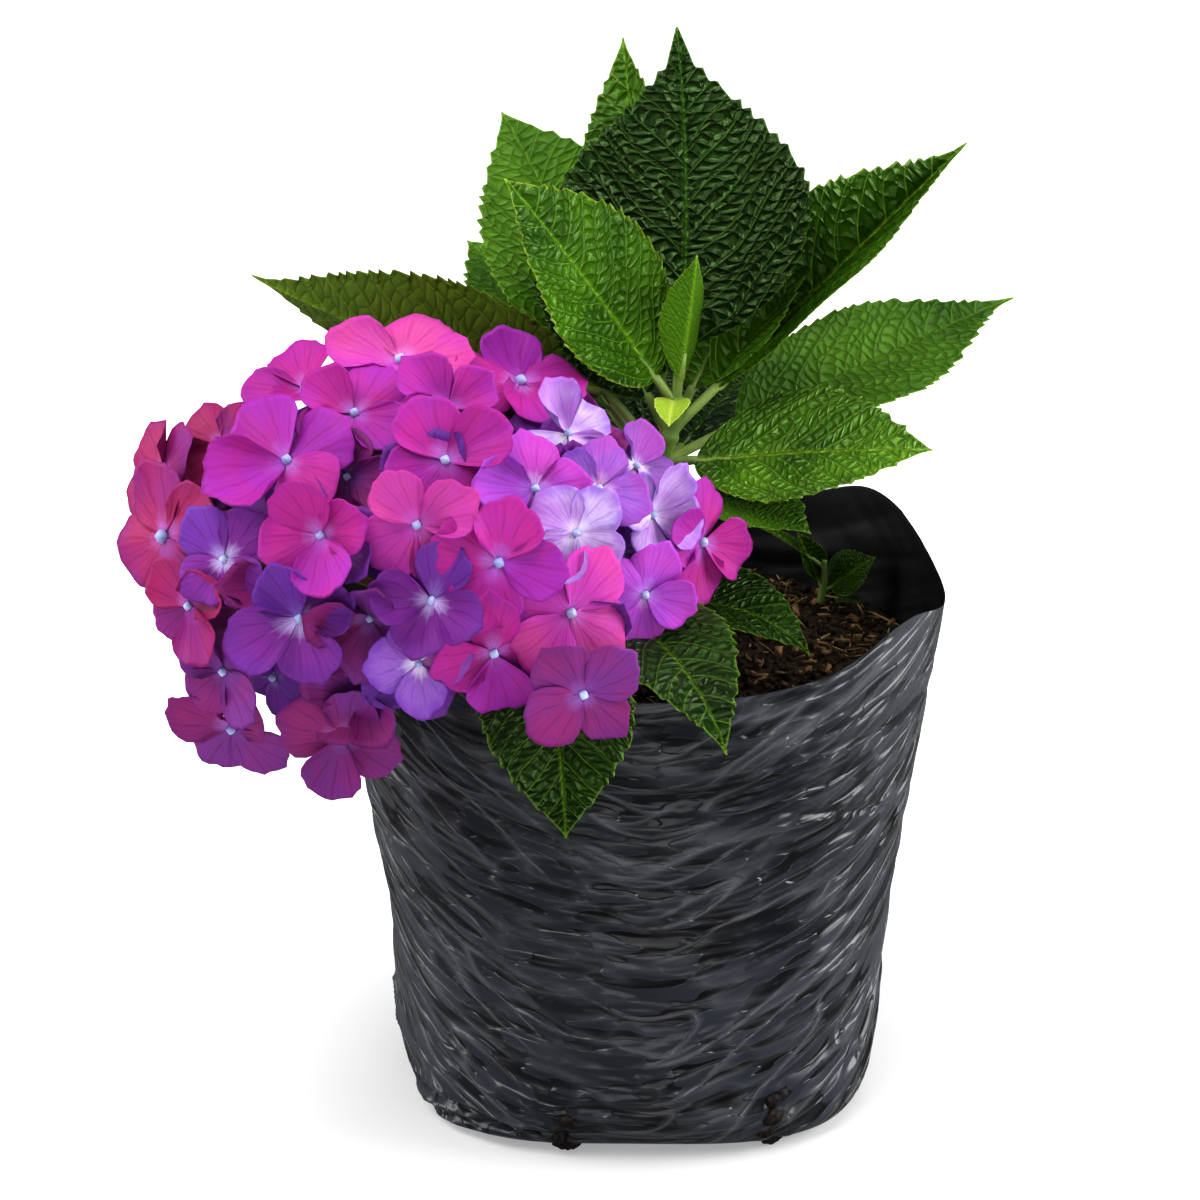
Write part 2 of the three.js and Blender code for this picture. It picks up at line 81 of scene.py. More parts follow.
LEAVES = {
    "lower_leaves": [
        leaf(250, (172, 50), 34, (145, 66), "olive", kink=42, arch=-24, roll=58, fold=12, tip=1.3),
        leaf(248, (22, 20), 34, (122, 70), "dull", arch=4, roll=12, fold=6, tip=1.4),
        leaf(248, (-22, 12), 14, (92, 58), "glossy", arch=8, roll=30, fold=10),
        leaf(240, (-36, 2), 16, (54, 40), "dull", arch=20, roll=10, fold=10),
        leaf(244, (138, 41), 32, (92, 64), "dull", arch=14, roll=-10, fold=12),
        leaf(241, (66, 14), 26, (104, 70), "dark", arch=22, fold=10),
        leaf(239, (104, 17), 20, (88, 58), "dark", arch=26, fold=10),
    ],
    "upper_leaves": [
        leaf(258, (136, 53), 24, (118, 78), "dull", arch=6, roll=-20, fold=10),
        leaf(260, (16, 42), 24, (130, 66), "mid", roll=36, fold=50, tip=1.3),
        leaf(258, (102, 58), 24, (135, 56), "mid", roll=-50, fold=24),
        leaf(257, (50, 50), 22, (94, 62), "dull", fold=10),
        leaf(260, (164, 56), 16, (78, 54), "dark", arch=6, roll=-30, fold=12),
    ],
    "tip_leaves": [
        leaf(269, (70, 78), 24, (117, 94), "dark", arch=4, sway=10, roll=15, fold=8, tip=1.85),
        leaf(270, (-158, 56), 14, (98, 60), "bright", arch=8, roll=-62, fold=14),
        leaf(272, (-60, 76), 10, (50, 24), "young", arch=-6, roll=-10, fold=46),
        leaf(273, (-100, 12), 5, (18, 14), "bud", arch=70, fold=20),
    ],
    "flower_stem_leaves": [
        leaf(194, (-24, 24), 18, (74, 46), "deep", arch=75, roll=10, fold=10, tip=1.1),
        leaf(200, (-62, 20), 20, (100, 50), "deep", arch=80, roll=5, fold=10, tip=1.1),
        leaf(206, (-86, 0), 44, (82, 54), "deep", arch=90, sway=4, fold=8, tip=1.1),
    ],
    "basal_shoot": [
        leaf(176, (-20, 42), 4, (23, 20), "mid", arch=12, roll=55, fold=14),
        leaf(177, (165, 66), 4, (22, 15), "mid", roll=-40, fold=40),
        leaf(175, (-45, 8), 8, (12, 11), "mid", arch=10, fold=8),
        leaf(187, (170, 36), 6, (30, 10), "mid", arch=18, fold=16),
    ],
}
AXIS_OF = {mass: LEAFY_AXIS for mass in ("lower_leaves", "upper_leaves", "tip_leaves")}
AXIS_OF.update(flower_stem_leaves=FLOWER_AXIS, basal_shoot=BASAL_AXIS)
WIDEST, FOOT_POWER, TIP_DRAW = 0.45, 0.66, 0.2
TIP_SLOPE = 0.85
STALK_RADIUS = 2.1
TEETH_PER_100_MM = 20
SIDE_VEINS = 10.5  # down each half of a blade
CELL = {"dark": 0.78, "bright": 0.78, "glossy": 0.78, "mid": 0.88, "deep": 0.80}  # mesh steps
FINEST_CELL, COARSEST_CELL = 0.4, 1.05

HEAD_MIDDLE, HEAD_REACH, HEAD_HUB = (-80, -57, 226), (93, 74, 66), (-80, -56, 214)
HEAD_LEAN, HEAD_RISE = 0.8, 0.9
BRANCHES = 9
# Named florets: side, up, reach beyond the dome, size and tint.
FLORETS = [
    (-165, 76, 1.12, 25, "pink"),
    (-123, 60, 1.06, 20, "magenta"),
    (-47, 72, 1.0, 20, "magenta"),
    (-45, 50, 1.02, 22, "magenta"),
    (-102, 40, 1.02, 19, "crimson"),
    (-98, 26, 1.12, 20, "crimson"),
    (-78, 15, 1.02, 27, "crimson"),
    (-22, 30, 1.0, 19, "magenta"),
    (-24, 5, 1.0, 20, "purple"),
    (2, 34, 1.02, 20, "pink"),
    (12, 54, 1.02, 21, "magenta"),
    (125, 64, 1.08, 23, "magenta"),
    (38, 42, 1.0, 19, "orchid"),
    (42, 27, 1.02, 18, "pale"),
    (20, 22, 1.03, 22, "magenta"),
    (35, 5, 1.03, 22, "pink"),
    (60, 37, 1.0, 18, "violet"),
    (100, 32, 1.0, 17, "violet"),
    (78, 54, 1.0, 17, "pale"),
    (90, 8, 1.1, 21, "magenta"),
    (80, 22, 0.98, 17, "pale"),
    (60, 3, 1.0, 18, "orchid"),
    (5, 12, 0.98, 18, "purple"),
    (2, -8, 0.98, 16, "violet"),
    (18, -5, 1.0, 20, "magenta"),
    (30, -11, 1.3, 19, "plum"),
    (-47, 18, 1.0, 18, "purple"),
    (-58, 0, 1.0, 18, "crimson"),
    (-59, -42, 1.12, 20, "plum"),
    (-21, -41, 1.02, 19, "plum"),
    (-50, -20, 1.0, 18, "plum"),
]
FILL_CANDIDATES, FILL_LOWEST, FILL_SPACING, FILL_SIZE = 140, -0.55, 31, 19
INNER_OUT, INNER_SPACING, INNER_SIZE = 0.84, 23, 17
SHOOT_CLEARANCE, RIM_CLEARANCE = 27, 20
SEPAL_BODY, SEPAL_GRID, INNER_GRID = 0.32, (15, 17), (8, 9)
PEDUNCLE_FOOT = 207
GOLDEN_ANGLE = 180 * (3 - math.sqrt(5))

# ---- Small helpers ----


def seeded(seed):
    """The source's repeatable random numbers from 0 to 1."""
    state = seed
    while True:
        state = (state * 16807) % 2147483647
        yield state / 2147483647


def unit(v):
    return v / np.linalg.norm(v)


def unit_rows(v):
    return v / np.maximum(np.linalg.norm(v, axis=-1, keepdims=True), 1e-9)


def turned(v, axis, degrees):
    """v turned about a unit axis."""
    c, s = math.cos(math.radians(degrees)), math.sin(math.radians(degrees))
    return v * c + np.cross(axis, v) * s + axis * (axis @ v) * (1 - c)


def turn_points(points, axis, degrees):
    return np.array([turned(p, axis, degrees) for p in points])


def heading(flat, climb):
    """The unit vector at angles in degrees: round from +X, and up."""
    flat, climb = math.radians(flat), math.radians(climb)
    level = math.cos(climb)
    return np.array([level * math.cos(flat), level * math.sin(flat), math.sin(climb)])


def angles(count, whole=2 * math.pi):
    """Even steps round a whole turn."""
    return np.arange(count) * whole / count


def hump(x, width):
    """1 at 0, and falls off smoothly on both sides over about the width."""
    return np.exp(-((x / width) ** 2))


def fan(middle, ring):
    """Triangles from a middle point to a closed ring of points."""
    return np.stack([np.full(len(ring), middle), np.roll(ring, -1), ring], -1)


def smoothstep(x, low, high):
    k = np.clip((x - low) / (high - low), 0, 1)
    return k * k * (3 - 2 * k)


def at_height(axis, height):
    k = 1
    while k < len(axis) - 1 and axis[k][2] < height:
        k += 1
    low, high = np.array(axis[k - 1], float), np.array(axis[k], float)
    return low + (high - low) * (height - low[2]) / (high[2] - low[2])


def noise_at(points, scale, offset=0.0):
    """Smooth noise from -1 to 1 at many points; scale may differ by axis."""
    scaled = np.asarray(points, float) / np.asarray(scale, float) + offset
    flat = scaled.reshape(-1, 3)
    values = np.fromiter((noise.noise(p) for p in flat), float, len(flat))
    return values.reshape(scaled.shape[:-1])


# ---- Mesh pieces ----


class Pile:
    """Points and faces of many small shapes that make one piece."""

    def __init__(self):
        self.points, self.quads, self.tris = [], [], []
        self.quad_slots, self.tri_slots, self.marks, self.places = [], [], [], []
        self.count = 0

    def add(self, points, quads, tris=(), slot=0, marks=None, places=None):
        """marks: an RGB mark for each point; places: each point's place in its leaf's vein net."""
        points = np.asarray(points, float).reshape(-1, 3)
        size = len(points)
        quads = np.asarray(quads, int).reshape(-1, 4)
        tris = np.asarray(tris, int).reshape(-1, 3)
        self.points.append(points)
        self.quads.append(quads + self.count)
        self.tris.append(tris + self.count)
        self.quad_slots.append(np.broadcast_to(slot, len(quads)))
        self.tri_slots.append(np.full(len(tris), np.max(slot)))
        self.marks.append(np.zeros((size, 3)) if marks is None else np.reshape(marks, (-1, 3)))
        self.places.append(np.zeros((size, 3)) if places is None else np.reshape(places, (-1, 3)))
        self.count += size


def linked(name, data):
    """A new object in the scene."""
    made = bpy.data.objects.new(name, data)
    bpy.context.scene.collection.objects.link(made)
    return made


def to_piece(name, pile, materials, replaces=None):
    """Makes the pile into a smooth mesh object, in metres, that rides the plant's one body."""
    points = np.concatenate(pile.points) * MM
    quads, tris = np.concatenate(pile.quads), np.concatenate(pile.tris)
    mesh = bpy.data.meshes.new(name)
    mesh.from_pydata(points.tolist(), [], quads.tolist() + tris.tolist())
    slots = np.concatenate(pile.quad_slots + pile.tri_slots).astype(np.int32)
    mesh.polygons.foreach_set("material_index", slots)
    mesh.polygons.foreach_set("use_smooth", np.ones(len(slots), bool))
    marks = np.concatenate(pile.marks)
    marks = np.c_[marks, np.ones(len(marks))].astype(np.float32)
    places = np.concatenate(pile.places).astype(np.float32)
    new = mesh.attributes.new
    new("marks", "FLOAT_COLOR", "POINT").data.foreach_set("color", marks.ravel())
    new("places", "FLOAT_VECTOR", "POINT").data.foreach_set("vector", places.ravel())
    for material in materials:
        mesh.materials.append(material)
    piece = linked(name, mesh)
    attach(piece, "root")
    if replaces:
        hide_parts(replaces)


def grid_quads(rows, columns, closed=False):
    """Quads of a grid of points; closed joins the last column to the first."""
    wide = columns if closed else columns - 1
    r, c = np.meshgrid(np.arange(rows - 1), np.arange(wide), indexing="ij")
    n = (c + 1) % columns
    here, above = r * columns, (r + 1) * columns
    return np.stack([here + c, here + n, above + n, above + c], -1)


def shell_quads(rows, columns):
    """Quads of a thin closed shell: top grid, under grid, and the strip round the edge."""
    top = grid_quads(rows, columns).reshape(-1, 4)
    under = top[:, ::-1] + rows * columns
    index = np.arange(rows * columns).reshape(rows, columns)
    rim = np.concatenate([index[0, :], index[1:, -1], index[-1, -2::-1], index[-2:0:-1, 0]])
    after = np.roll(rim, -1)
    strip = np.stack([rim, rim + rows * columns, after + rows * columns, after], -1)
    return top, under, strip


def tube(pile, points, radii, sides, slot=0):
    """A round tube with closed ends along a list of points."""
    points = np.asarray(points, float)
    ahead_of = np.gradient(points, axis=0)
    ahead_of /= np.linalg.norm(ahead_of, axis=1)[:, None]
    across = np.cross((0, 0, 1) if abs(ahead_of[0][2]) < 0.9 else (1, 0, 0), ahead_of[0])
    turn = angles(sides)
    rings = []
    for at, ahead, radius in zip(points, ahead_of, np.asarray(radii, float)):
        across = unit(across - ahead * (across @ ahead))
        around = np.cross(ahead, across)
        ring = np.outer(np.cos(turn), across) + np.outer(np.sin(turn), around)
        rings.append(at + radius * ring)
    count = len(points) * sides
    foot, head = np.arange(sides), np.arange(count - sides, count)
    caps = np.concatenate([fan(count, foot), fan(count + 1, head)[:, [0, 2, 1]]])
    quads = grid_quads(len(points), sides, closed=True)
    pile.add(np.concatenate(rings + [points[:1], points[-1:]]), quads, caps, slot)


# ---- Materials ----


class Wire:
    """A value that shader nodes hand on; arithmetic on it adds nodes."""

    def __init__(self, nodes, socket):
        self.nodes, self.socket = nodes, socket

    def __add__(self, other):
        return self.nodes.math("ADD", self, other)

    def __sub__(self, other):
        return self.nodes.math("SUBTRACT", self, other)

    def __rsub__(self, other):
        return self.nodes.math("SUBTRACT", other, self)

    def __mul__(self, other):
        return self.nodes.math("MULTIPLY", self, other)


class Nodes:
    """A material's node tree, with short calls to build it."""

    def __init__(self, name, **sockets):
        self.material = bpy.data.materials.new(name)
        self.material.use_nodes = True
        self.tree = self.material.node_tree
        self.shader = self.tree.nodes["Principled BSDF"]
        for socket, value in sockets.items():
            self.shader.inputs[socket.replace("_", " ")].default_value = value

    def feed(self, socket, value):
        """Links a wire to a node's input, or sets a number or colour there."""
        if isinstance(value, Wire):
            self.tree.links.new(value.socket, socket)
        elif value is not None:
            socket.default_value = (*value, 1) if isinstance(value, tuple) else value

    def node(self, kind, **values):
        """A new node; each value goes to the input of its name, or is one of its settings."""
        made = self.tree.nodes.new(kind)
        for key, value in values.items():
            socket = made.inputs.get(key.replace("_", " "))
            if socket:
                self.feed(socket, value)
            else:
                setattr(made, key, value)
        return made

    def set(self, socket, source):
        self.feed(self.shader.inputs[socket], source)

    def coordinates(self):
        return Wire(self, self.node("ShaderNodeTexCoord").outputs["Object"])

    def xyz(self, vector):
        split = self.node("ShaderNodeSeparateXYZ", Vector=vector)
        return [Wire(self, socket) for socket in split.outputs[:3]]

    def noise(self, scale, detail=4.0, where=None, roughness=0.55):
        made = self.node("ShaderNodeTexNoise", Scale=scale, Detail=detail, Roughness=roughness)
        self.feed(made.inputs["Vector"], where or self.coordinates())
        return Wire(self, made.outputs["Fac"])

    def cells(self, scale, where=None, uneven=None):
        """Distance to the walls of cells; uneven: from 0 to 1, for cells that lie in a plane."""
        made = self.node("ShaderNodeTexVoronoi", feature="DISTANCE_TO_EDGE", Scale=scale)
        if uneven:
            made.voronoi_dimensions = "2D"
            made.inputs["Randomness"].default_value = uneven
        self.feed(made.inputs["Vector"], where or self.coordinates())
        return Wire(self, made.outputs["Distance"])

    def math(self, operation, first, second=None):
        made = self.node("ShaderNodeMath", operation=operation)
        self.feed(made.inputs[0], first)
        self.feed(made.inputs[1], second)
        return Wire(self, made.outputs[0])

    def ramp(self, source, *stops):
        """stops: (place, colour or grey)."""
        made = self.node("ShaderNodeValToRGB", Fac=source)
        elements = made.color_ramp.elements
        while len(elements) < len(stops):
            elements.new(0.5)
        for element, (place, colour) in zip(elements, stops):
            element.position = place
            element.color = (*(colour if isinstance(colour, tuple) else [colour] * 3), 1)
        return Wire(self, made.outputs["Color"])

    def clouds(self, scale, detail, *stops):
        return self.ramp(self.noise(scale, detail), *stops)

    def mix(self, share, first, second):
        made = self.node("ShaderNodeMix", data_type="RGBA")
        for index, value in ((0, share), (6, first), (7, second)):
            self.feed(made.inputs[index], value)
        return Wire(self, made.outputs[2])

    def marks(self):
        """The piece's three marks, each a number that its mesh gives every point."""
        made = self.node("ShaderNodeAttribute", attribute_name="marks")
        marks = Wire(self, made.outputs["Color"])
        split = self.node("ShaderNodeSeparateColor", Color=marks)
        return [Wire(self, socket) for socket in split.outputs[:3]]

    def place(self, *sizes):
        """The piece's places in its vein net, stretched by the sizes."""
        made = self.node("ShaderNodeAttribute", attribute_name="places")
        sized = self.node("ShaderNodeVectorMath", operation="MULTIPLY")
        self.feed(sized.inputs[0], Wire(self, made.outputs["Vector"]))
        sized.inputs[1].default_value = sizes
        return Wire(self, sized.outputs["Vector"])

    def bulge(self, source, width):
        """Rises from 0 where the source is 0 and is level from the width on."""
        share = self.math("MINIMUM", self.math("DIVIDE", source, width), 1.0)
        return share * (2.0 - share)

    def bump(self, height, distance, strength=1.0):
        depth = distance * MM
        made = self.node("ShaderNodeBump", Strength=strength, Distance=depth, Height=height)
        self.set("Normal", Wire(self, made.outputs["Normal"]))


# Each leaf look: darkest and lightest green of the blade, its veins, its edge, roughness and gloss.
LEAF_LOOKS = {
    "dark": (
        (0.001, 0.006, 0.0002), (0.005, 0.029, 0.0004), (0.055, 0.150, 0.010),
        (0.07, 0.18, 0.010), 0.26, 0.65
    ),
    "glossy": (
        (0.016, 0.066, 0.001), (0.132, 0.286, 0.012), (0.220, 0.360, 0.020),
        (0.26, 0.40, 0.03), 0.23, 1.00
    ),
    "mid": (
        (0.010, 0.045, 0.0003), (0.058, 0.150, 0.0006), (0.160, 0.300, 0.008),
        (0.22, 0.36, 0.02), 0.28, 0.60
    ),
    "bright": (
        (0.010, 0.050, 0.0002), (0.080, 0.205, 0.0008), (0.150, 0.330, 0.008),
        (0.36, 0.48, 0.03), 0.28, 0.65
    ),
    "dull": (
        (0.030, 0.095, 0.004), (0.110, 0.250, 0.012), (0.120, 0.260, 0.015),
        (0.20, 0.36, 0.03), 0.38, 0.35
    ),
    "olive": (
        (0.030, 0.048, 0.0005), (0.085, 0.110, 0.002), (0.150, 0.200, 0.010),
        (0.20, 0.28, 0.02), 0.40, 0.35
    ),
    "deep": (
        (0.002, 0.011, 0.0002), (0.016, 0.056, 0.0004), (0.095, 0.190, 0.006),
        (0.16, 0.30, 0.02), 0.30, 0.40
    ),
    "young": (
        (0.030, 0.120, 0.0008), (0.090, 0.250, 0.003), (0.200, 0.400, 0.015),
        (0.40, 0.54, 0.04), 0.34, 0.45
    ),
    "bud": (
        (0.300, 0.460, 0.030), (0.500, 0.640, 0.080), (0.600, 0.720, 0.130),
        (0.64, 0.72, 0.18), 0.42, 0.30
    ),
}
# How deep the blisters between the veins are, where it isn't 1 mm.
QUILTING = {"dark": 1.2, "dull": 0.6, "olive": 0.8, "young": 0.6, "bud": 0.1}
LEAF_TINT = (0.62, 1.0, 0.36, 1)  # of the light that leaves reflect
UNDERSIDE_TINT = (0.060, 0.110, 0.010)


def leaf_material(look, under=False):
    dark, light, vein, edge, roughness, gloss = LEAF_LOOKS[look]
    quilting = QUILTING.get(look, 1.0)
    if under:
        dark, light, vein = [
            tuple(0.7 * c + more for c, more in zip(colour, UNDERSIDE_TINT))
            for colour in (dark, light, vein)
        ]
        roughness += 0.22
    name = f"leaf_{look}_{'under' if under else 'top'}"
    nodes = Nodes(name, Roughness=roughness, Specular_IOR_Level=gloss, Specular_Tint=LEAF_TINT)
    rib, margin, height = nodes.marks()
    patches = nodes.clouds(30, 3, (0.3, 0.0), (0.7, 1.0))
    side_vein = nodes.math("PINGPONG", nodes.xyz(nodes.place(1, 1, 1))[0], 0.5)
    cell = nodes.cells(1, nodes.place(1.3, 1, 0), uneven=0.55)
    small = nodes.cells(1, nodes.place(4.2, 2.1, 0), uneven=1.0)
    strip = nodes.bulge(side_vein, 0.30)
    pillow = nodes.bulge(cell, 0.50)

    # Painted shade: the blade gets darker where the blisters sink to the side veins, and in the
    # grooves of the cell walls and of the fine net.
    low = nodes.ramp(height, (0.0, 0.35), (0.8, 0.0))
    painted_groove_shade = nodes.ramp(cell, (0.0, 0.75 if look == "dark" else 0.45), (0.10, 0.0))
    painted_fine_groove_shade = nodes.ramp(small, (0.0, 0.12), (0.10, 0.0))
    blade = nodes.mix(patches, dark, light)
    # The first three mixes are painted shade; the veins and the edge are the leaf's own colours.
    for share, colour in (
        (low, dark),
        (painted_groove_shade, tuple(0.3 * c for c in dark)),
        (painted_fine_groove_shade, tuple(0.5 * c for c in dark)),
        (nodes.ramp(side_vein, (0.0, 0.90), (0.045, 0.0)), vein),
        (rib, vein),
        (margin * 0.7, edge),
    ):
        blade = nodes.mix(share, blade, colour)
    nodes.set("Base Color", blade)

    relief = pillow * (strip * 0.6 + 0.35) + strip * 0.55
    relief = relief + nodes.bulge(small, 0.3) * 0.05 + nodes.noise(1500, 3) * 0.06
    nodes.bump(relief, (-0.5 if under else 1.05) * quilting)
    grain = nodes.noise(140, 3)
    nodes.set("Roughness", nodes.ramp(grain, (0.3, roughness - 0.03), (0.8, roughness + 0.12)))
    return nodes.material


# Each tint: colour at the eye, at the middle and at the edge of a sepal, of its veins, and of the
# blush that some sepals carry.
TINTS = {
    "pink": (
        (0.62, 0.26, 0.64), (0.60, 0.088, 0.34), (0.53, 0.056, 0.33),
        (0.40, 0.012, 0.22), (0.50, 0.05, 0.46)
    ),
    "magenta": (
        (0.48, 0.20, 0.62), (0.46, 0.028, 0.28), (0.38, 0.022, 0.29),
        (0.26, 0.006, 0.16), (0.33, 0.03, 0.41)
    ),
    "crimson": (
        (0.40, 0.14, 0.46), (0.36, 0.022, 0.13), (0.30, 0.018, 0.13),
        (0.15, 0.004, 0.07), (0.22, 0.022, 0.24)
    ),
    "plum": (
        (0.34, 0.16, 0.50), (0.28, 0.024, 0.17), (0.21, 0.020, 0.17),
        (0.12, 0.006, 0.09), (0.17, 0.035, 0.26)
    ),
    "orchid": (
        (0.86, 0.74, 0.95), (0.54, 0.080, 0.50), (0.44, 0.045, 0.44),
        (0.32, 0.016, 0.30), (0.36, 0.08, 0.60)
    ),
    "purple": (
        (0.66, 0.58, 0.90), (0.24, 0.034, 0.31), (0.18, 0.026, 0.27),
        (0.10, 0.008, 0.15), (0.15, 0.040, 0.34)
    ),
    "violet": (
        (0.90, 0.88, 0.98), (0.30, 0.125, 0.50), (0.19, 0.052, 0.41),
        (0.17, 0.050, 0.38), (0.42, 0.08, 0.42)
    ),
    "pale": (
        (0.94, 0.92, 0.98), (0.62, 0.500, 0.78), (0.31, 0.145, 0.60),
        (0.28, 0.120, 0.50), (0.46, 0.16, 0.56)
    ),
}


def sepal_material(tint):
    eye, middle, edge, vein, blush = TINTS[tint]
    nodes = Nodes(f"sepal_{tint}", Specular_IOR_Level=0.22)
    out, across, chance = nodes.marks()
    spokes = (across + nodes.noise(110, 2) * 0.10) * 5.0
    main = nodes.math("PINGPONG", spokes, 0.5)
    fine = nodes.math("PINGPONG", spokes * 3.0, 0.5)
    main_line = nodes.ramp(main, (0.0, 1.0), (0.16, 0.0))
    fine_line = nodes.ramp(fine, (0.0, 1.0), (0.24, 0.0)) * out
    spread = out + nodes.noise(160, 3) * 0.24 - 0.12 - main_line * 0.16
    colour = nodes.ramp(spread, (0.05, eye), (0.34, middle), (0.72, middle), (1.0, edge))
    cloud = nodes.noise(38, 3) + chance * 0.34
    colour = nodes.mix(nodes.ramp(cloud, (0.56, 0.0), (0.84, 0.85)), colour, blush)
    strength = nodes.ramp(out, (0.12, 0.0), (0.34, 0.62), (1.0, 0.34))
    lines = nodes.math("MAXIMUM", main_line, fine_line * 0.6)
    colour = nodes.mix(lines * strength, colour, vein)
    spots = nodes.clouds(420, 4, (0.40, 0.0), (0.80, 0.30))
    nodes.set("Base Color", nodes.mix(spots, colour, edge))
    nodes.bump(main * 1.6 + fine * 0.7 + nodes.noise(800, 4) * 0.7, 0.22, 0.5)
    nodes.set("Roughness", nodes.clouds(240, 3, (0.2, 0.44), (0.8, 0.62)))
    return nodes.material


def bag_material():
    """Black film: wrinkles that follow the mesh's folds and finer drawn lines, in bumps and in
    painted highlights; painted shade in the pockets, in the hollows and towards the top, and
    painted sheen at the sides.
    """
    nodes = Nodes("bag_film", Specular_IOR_Level=0.65, Sheen_Weight=0.10, Sheen_Roughness=0.30)
    flow, painted_crest_highlight, painted_hollow_shade = nodes.marks()
    x, y, z = nodes.xyz(nodes.coordinates())

    def streaks(height, tall, long):
        """Noise that is stretched along the film, from each height that is given."""
        where = nodes.node("ShaderNodeCombineXYZ", X=height * tall, Y=x * long, Z=y * long)
        return nodes.noise(1, 1, Wire(nodes, where.outputs[0]), 0.4)

    def line(source, wide):
        """1 where the source crosses its middle, 0 from the width on."""
        return 1.0 - nodes.bulge(nodes.math("ABSOLUTE", source - 0.5), wide)

    level = flow * 0.2
    aslant = z - nodes.math("SQRT", x * x + 0.0004) * 0.75
    pocket = streaks(level, 190, 48)
    wrinkle_and_highlight = line(streaks(level, 100, 26), 0.10)
    drawn = line(streaks(aslant, 60, 13), 0.05)
    drawn = drawn * nodes.clouds(11, 2, (0.40, 0.0), (0.56, 1.0))
    patch = nodes.clouds(16, 3, (0.42, 0.0), (0.60, 1.0))
    # Painted shade: the pockets are darkened in the colour, more in some patches than in others.
    dark = nodes.ramp(pocket, (0.468, 1.0), (0.500, 0.0))
    dark = dark * nodes.ramp(patch, (0.0, 0.65), (1.0, 1.0))
    # Painted sheen: how far from the middle, for lighter film towards the left and right sides.
    side = nodes.math("ABSOLUTE", x) * 8.0

    tones = (0.3, (0.013, 0.016, 0.023)), (0.75, (0.034, 0.039, 0.052))
    film = nodes.clouds(14, 5, *tones)
    # Mixed into the film: painted shade towards the top, painted sheen at the sides, painted shade
    # in the pockets, painted highlights on the wrinkles, drawn lines and crests, and painted shade
    # in the hollows.
    for share, colour in (
        (nodes.ramp(z * 5.0, (0.35, 0.0), (0.75, 0.65)), (0.003, 0.004, 0.007)),
        (nodes.ramp(side, (0.50, 0.0), (0.84, 0.55)), (0.115, 0.120, 0.136)),
        (dark, (0.0008, 0.0009, 0.0014)),
        (wrinkle_and_highlight * 0.24, (0.110, 0.114, 0.130)),
        (drawn * 0.58, (0.150, 0.154, 0.172)),
        (painted_crest_highlight * 0.35, (0.120, 0.124, 0.140)),
        (painted_hollow_shade * 0.6, (0.002, 0.002, 0.003)),
    ):
        film = nodes.mix(share, film, colour)
    nodes.set("Base Color", film)
    nodes.set("Roughness", nodes.clouds(55, 5, (0.25, 0.26), (0.8, 0.36)))
    nodes.bump(wrinkle_and_highlight * 0.8 + drawn - dark * 0.7 + pocket * 2.4, 1.1)
    return nodes.material


def inner_bag_material():
    nodes = Nodes("bag_film_inside", Specular_IOR_Level=0.25)
    tones = (0.3, (0.004, 0.004, 0.005)), (0.8, (0.010, 0.010, 0.012))
    nodes.set("Base Color", nodes.clouds(30, 4, *tones))
    nodes.set("Roughness", nodes.clouds(60, 4, (0.3, 0.48), (0.8, 0.64)))
    nodes.bump(nodes.noise(90, 5), 0.6, 0.5)
    return nodes.material


def speckled(name, dark, light, scale, roughness, relief):
    """A rough natural surface: two colours in noise, with a bump of the same grain."""
    nodes = Nodes(name, Specular_IOR_Level=0.3, Roughness=roughness)
    grain = nodes.noise(scale, 6)
    nodes.set("Base Color", nodes.ramp(grain, (0.35, dark), (0.7, light)))
    nodes.bump(grain + nodes.cells(scale * 2) * 0.6, relief, 0.7)
    return nodes.material


def bark_material():
    nodes = Nodes("stem_bark", Roughness=0.8, Specular_IOR_Level=0.3)
    drawn_out = nodes.node("ShaderNodeMapping", Vector=nodes.coordinates())
    drawn_out.inputs["Scale"].default_value = (1.0, 1.0, 0.18)
    furrows = nodes.noise(500, 6, Wire(nodes, drawn_out.outputs[0]))
    tones = (0.3, (0.07, 0.045, 0.025)), (0.7, (0.30, 0.23, 0.14))
    nodes.set("Base Color", nodes.ramp(furrows, *tones))
    nodes.bump(furrows, 0.6, 0.8)
    return nodes.material


def stalk_material(name, low, high):
    nodes = Nodes(name, Roughness=0.45, Specular_IOR_Level=0.45)
    nodes.set("Base Color", nodes.clouds(60, 4, (0.3, low), (0.7, high)))
    nodes.bump(nodes.noise(500, 4), 0.2, 0.5)
    return nodes.material


# ---- Leaves ----


def blade_share(t, tip):
    """Half-width of a blade as a share of its greatest."""
    low = np.clip(1 - ((t - WIDEST) / WIDEST) ** 2, 0, 1) ** FOOT_POWER
    x = np.clip((t - WIDEST) / (1 - WIDEST), 0, 1)
    high = np.clip(np.cos(math.pi / 2 * x), 0, 1) ** (tip + TIP_DRAW * x**3)
    return np.where(t < WIDEST, low, high)


def midrib(row, axis, steps):
    """The stalk's foot, and the rib's points and frames from the blade's foot to its tip."""
    flat = math.radians(row.bearing)
    ahead = heading(row.bearing, row.pitch)
    left = np.array([-math.sin(flat), math.cos(flat), 0.0])
    foot = at_height(axis, row.node)
    at = foot + ahead * row.stalk
    ahead = turned(ahead, left, row.kink)
    left = turned(left, ahead, row.roll)
    above = np.cross(ahead, left)
    rib = [(at, ahead, left, above)]
    for i in range(steps):
        down = row.arch / steps * (0.6 + 0.8 * (i + 0.5) / steps)
        ahead, above = turned(ahead, left, down), turned(above, left, down)
        side = row.sway / steps
        ahead, left = turned(ahead, above, side), turned(left, above, side)
        at = at + ahead * row.length / steps
        rib.append((at, ahead, left, above))
    return foot, [np.array(x) for x in zip(*rib)]


def hashed(i, seed):
    """A repeatable number from 0 to 1 for each whole number."""
    value = np.sin(i * 127.1 + seed * 17.3) * 43758.5453
    return value - np.floor(value)


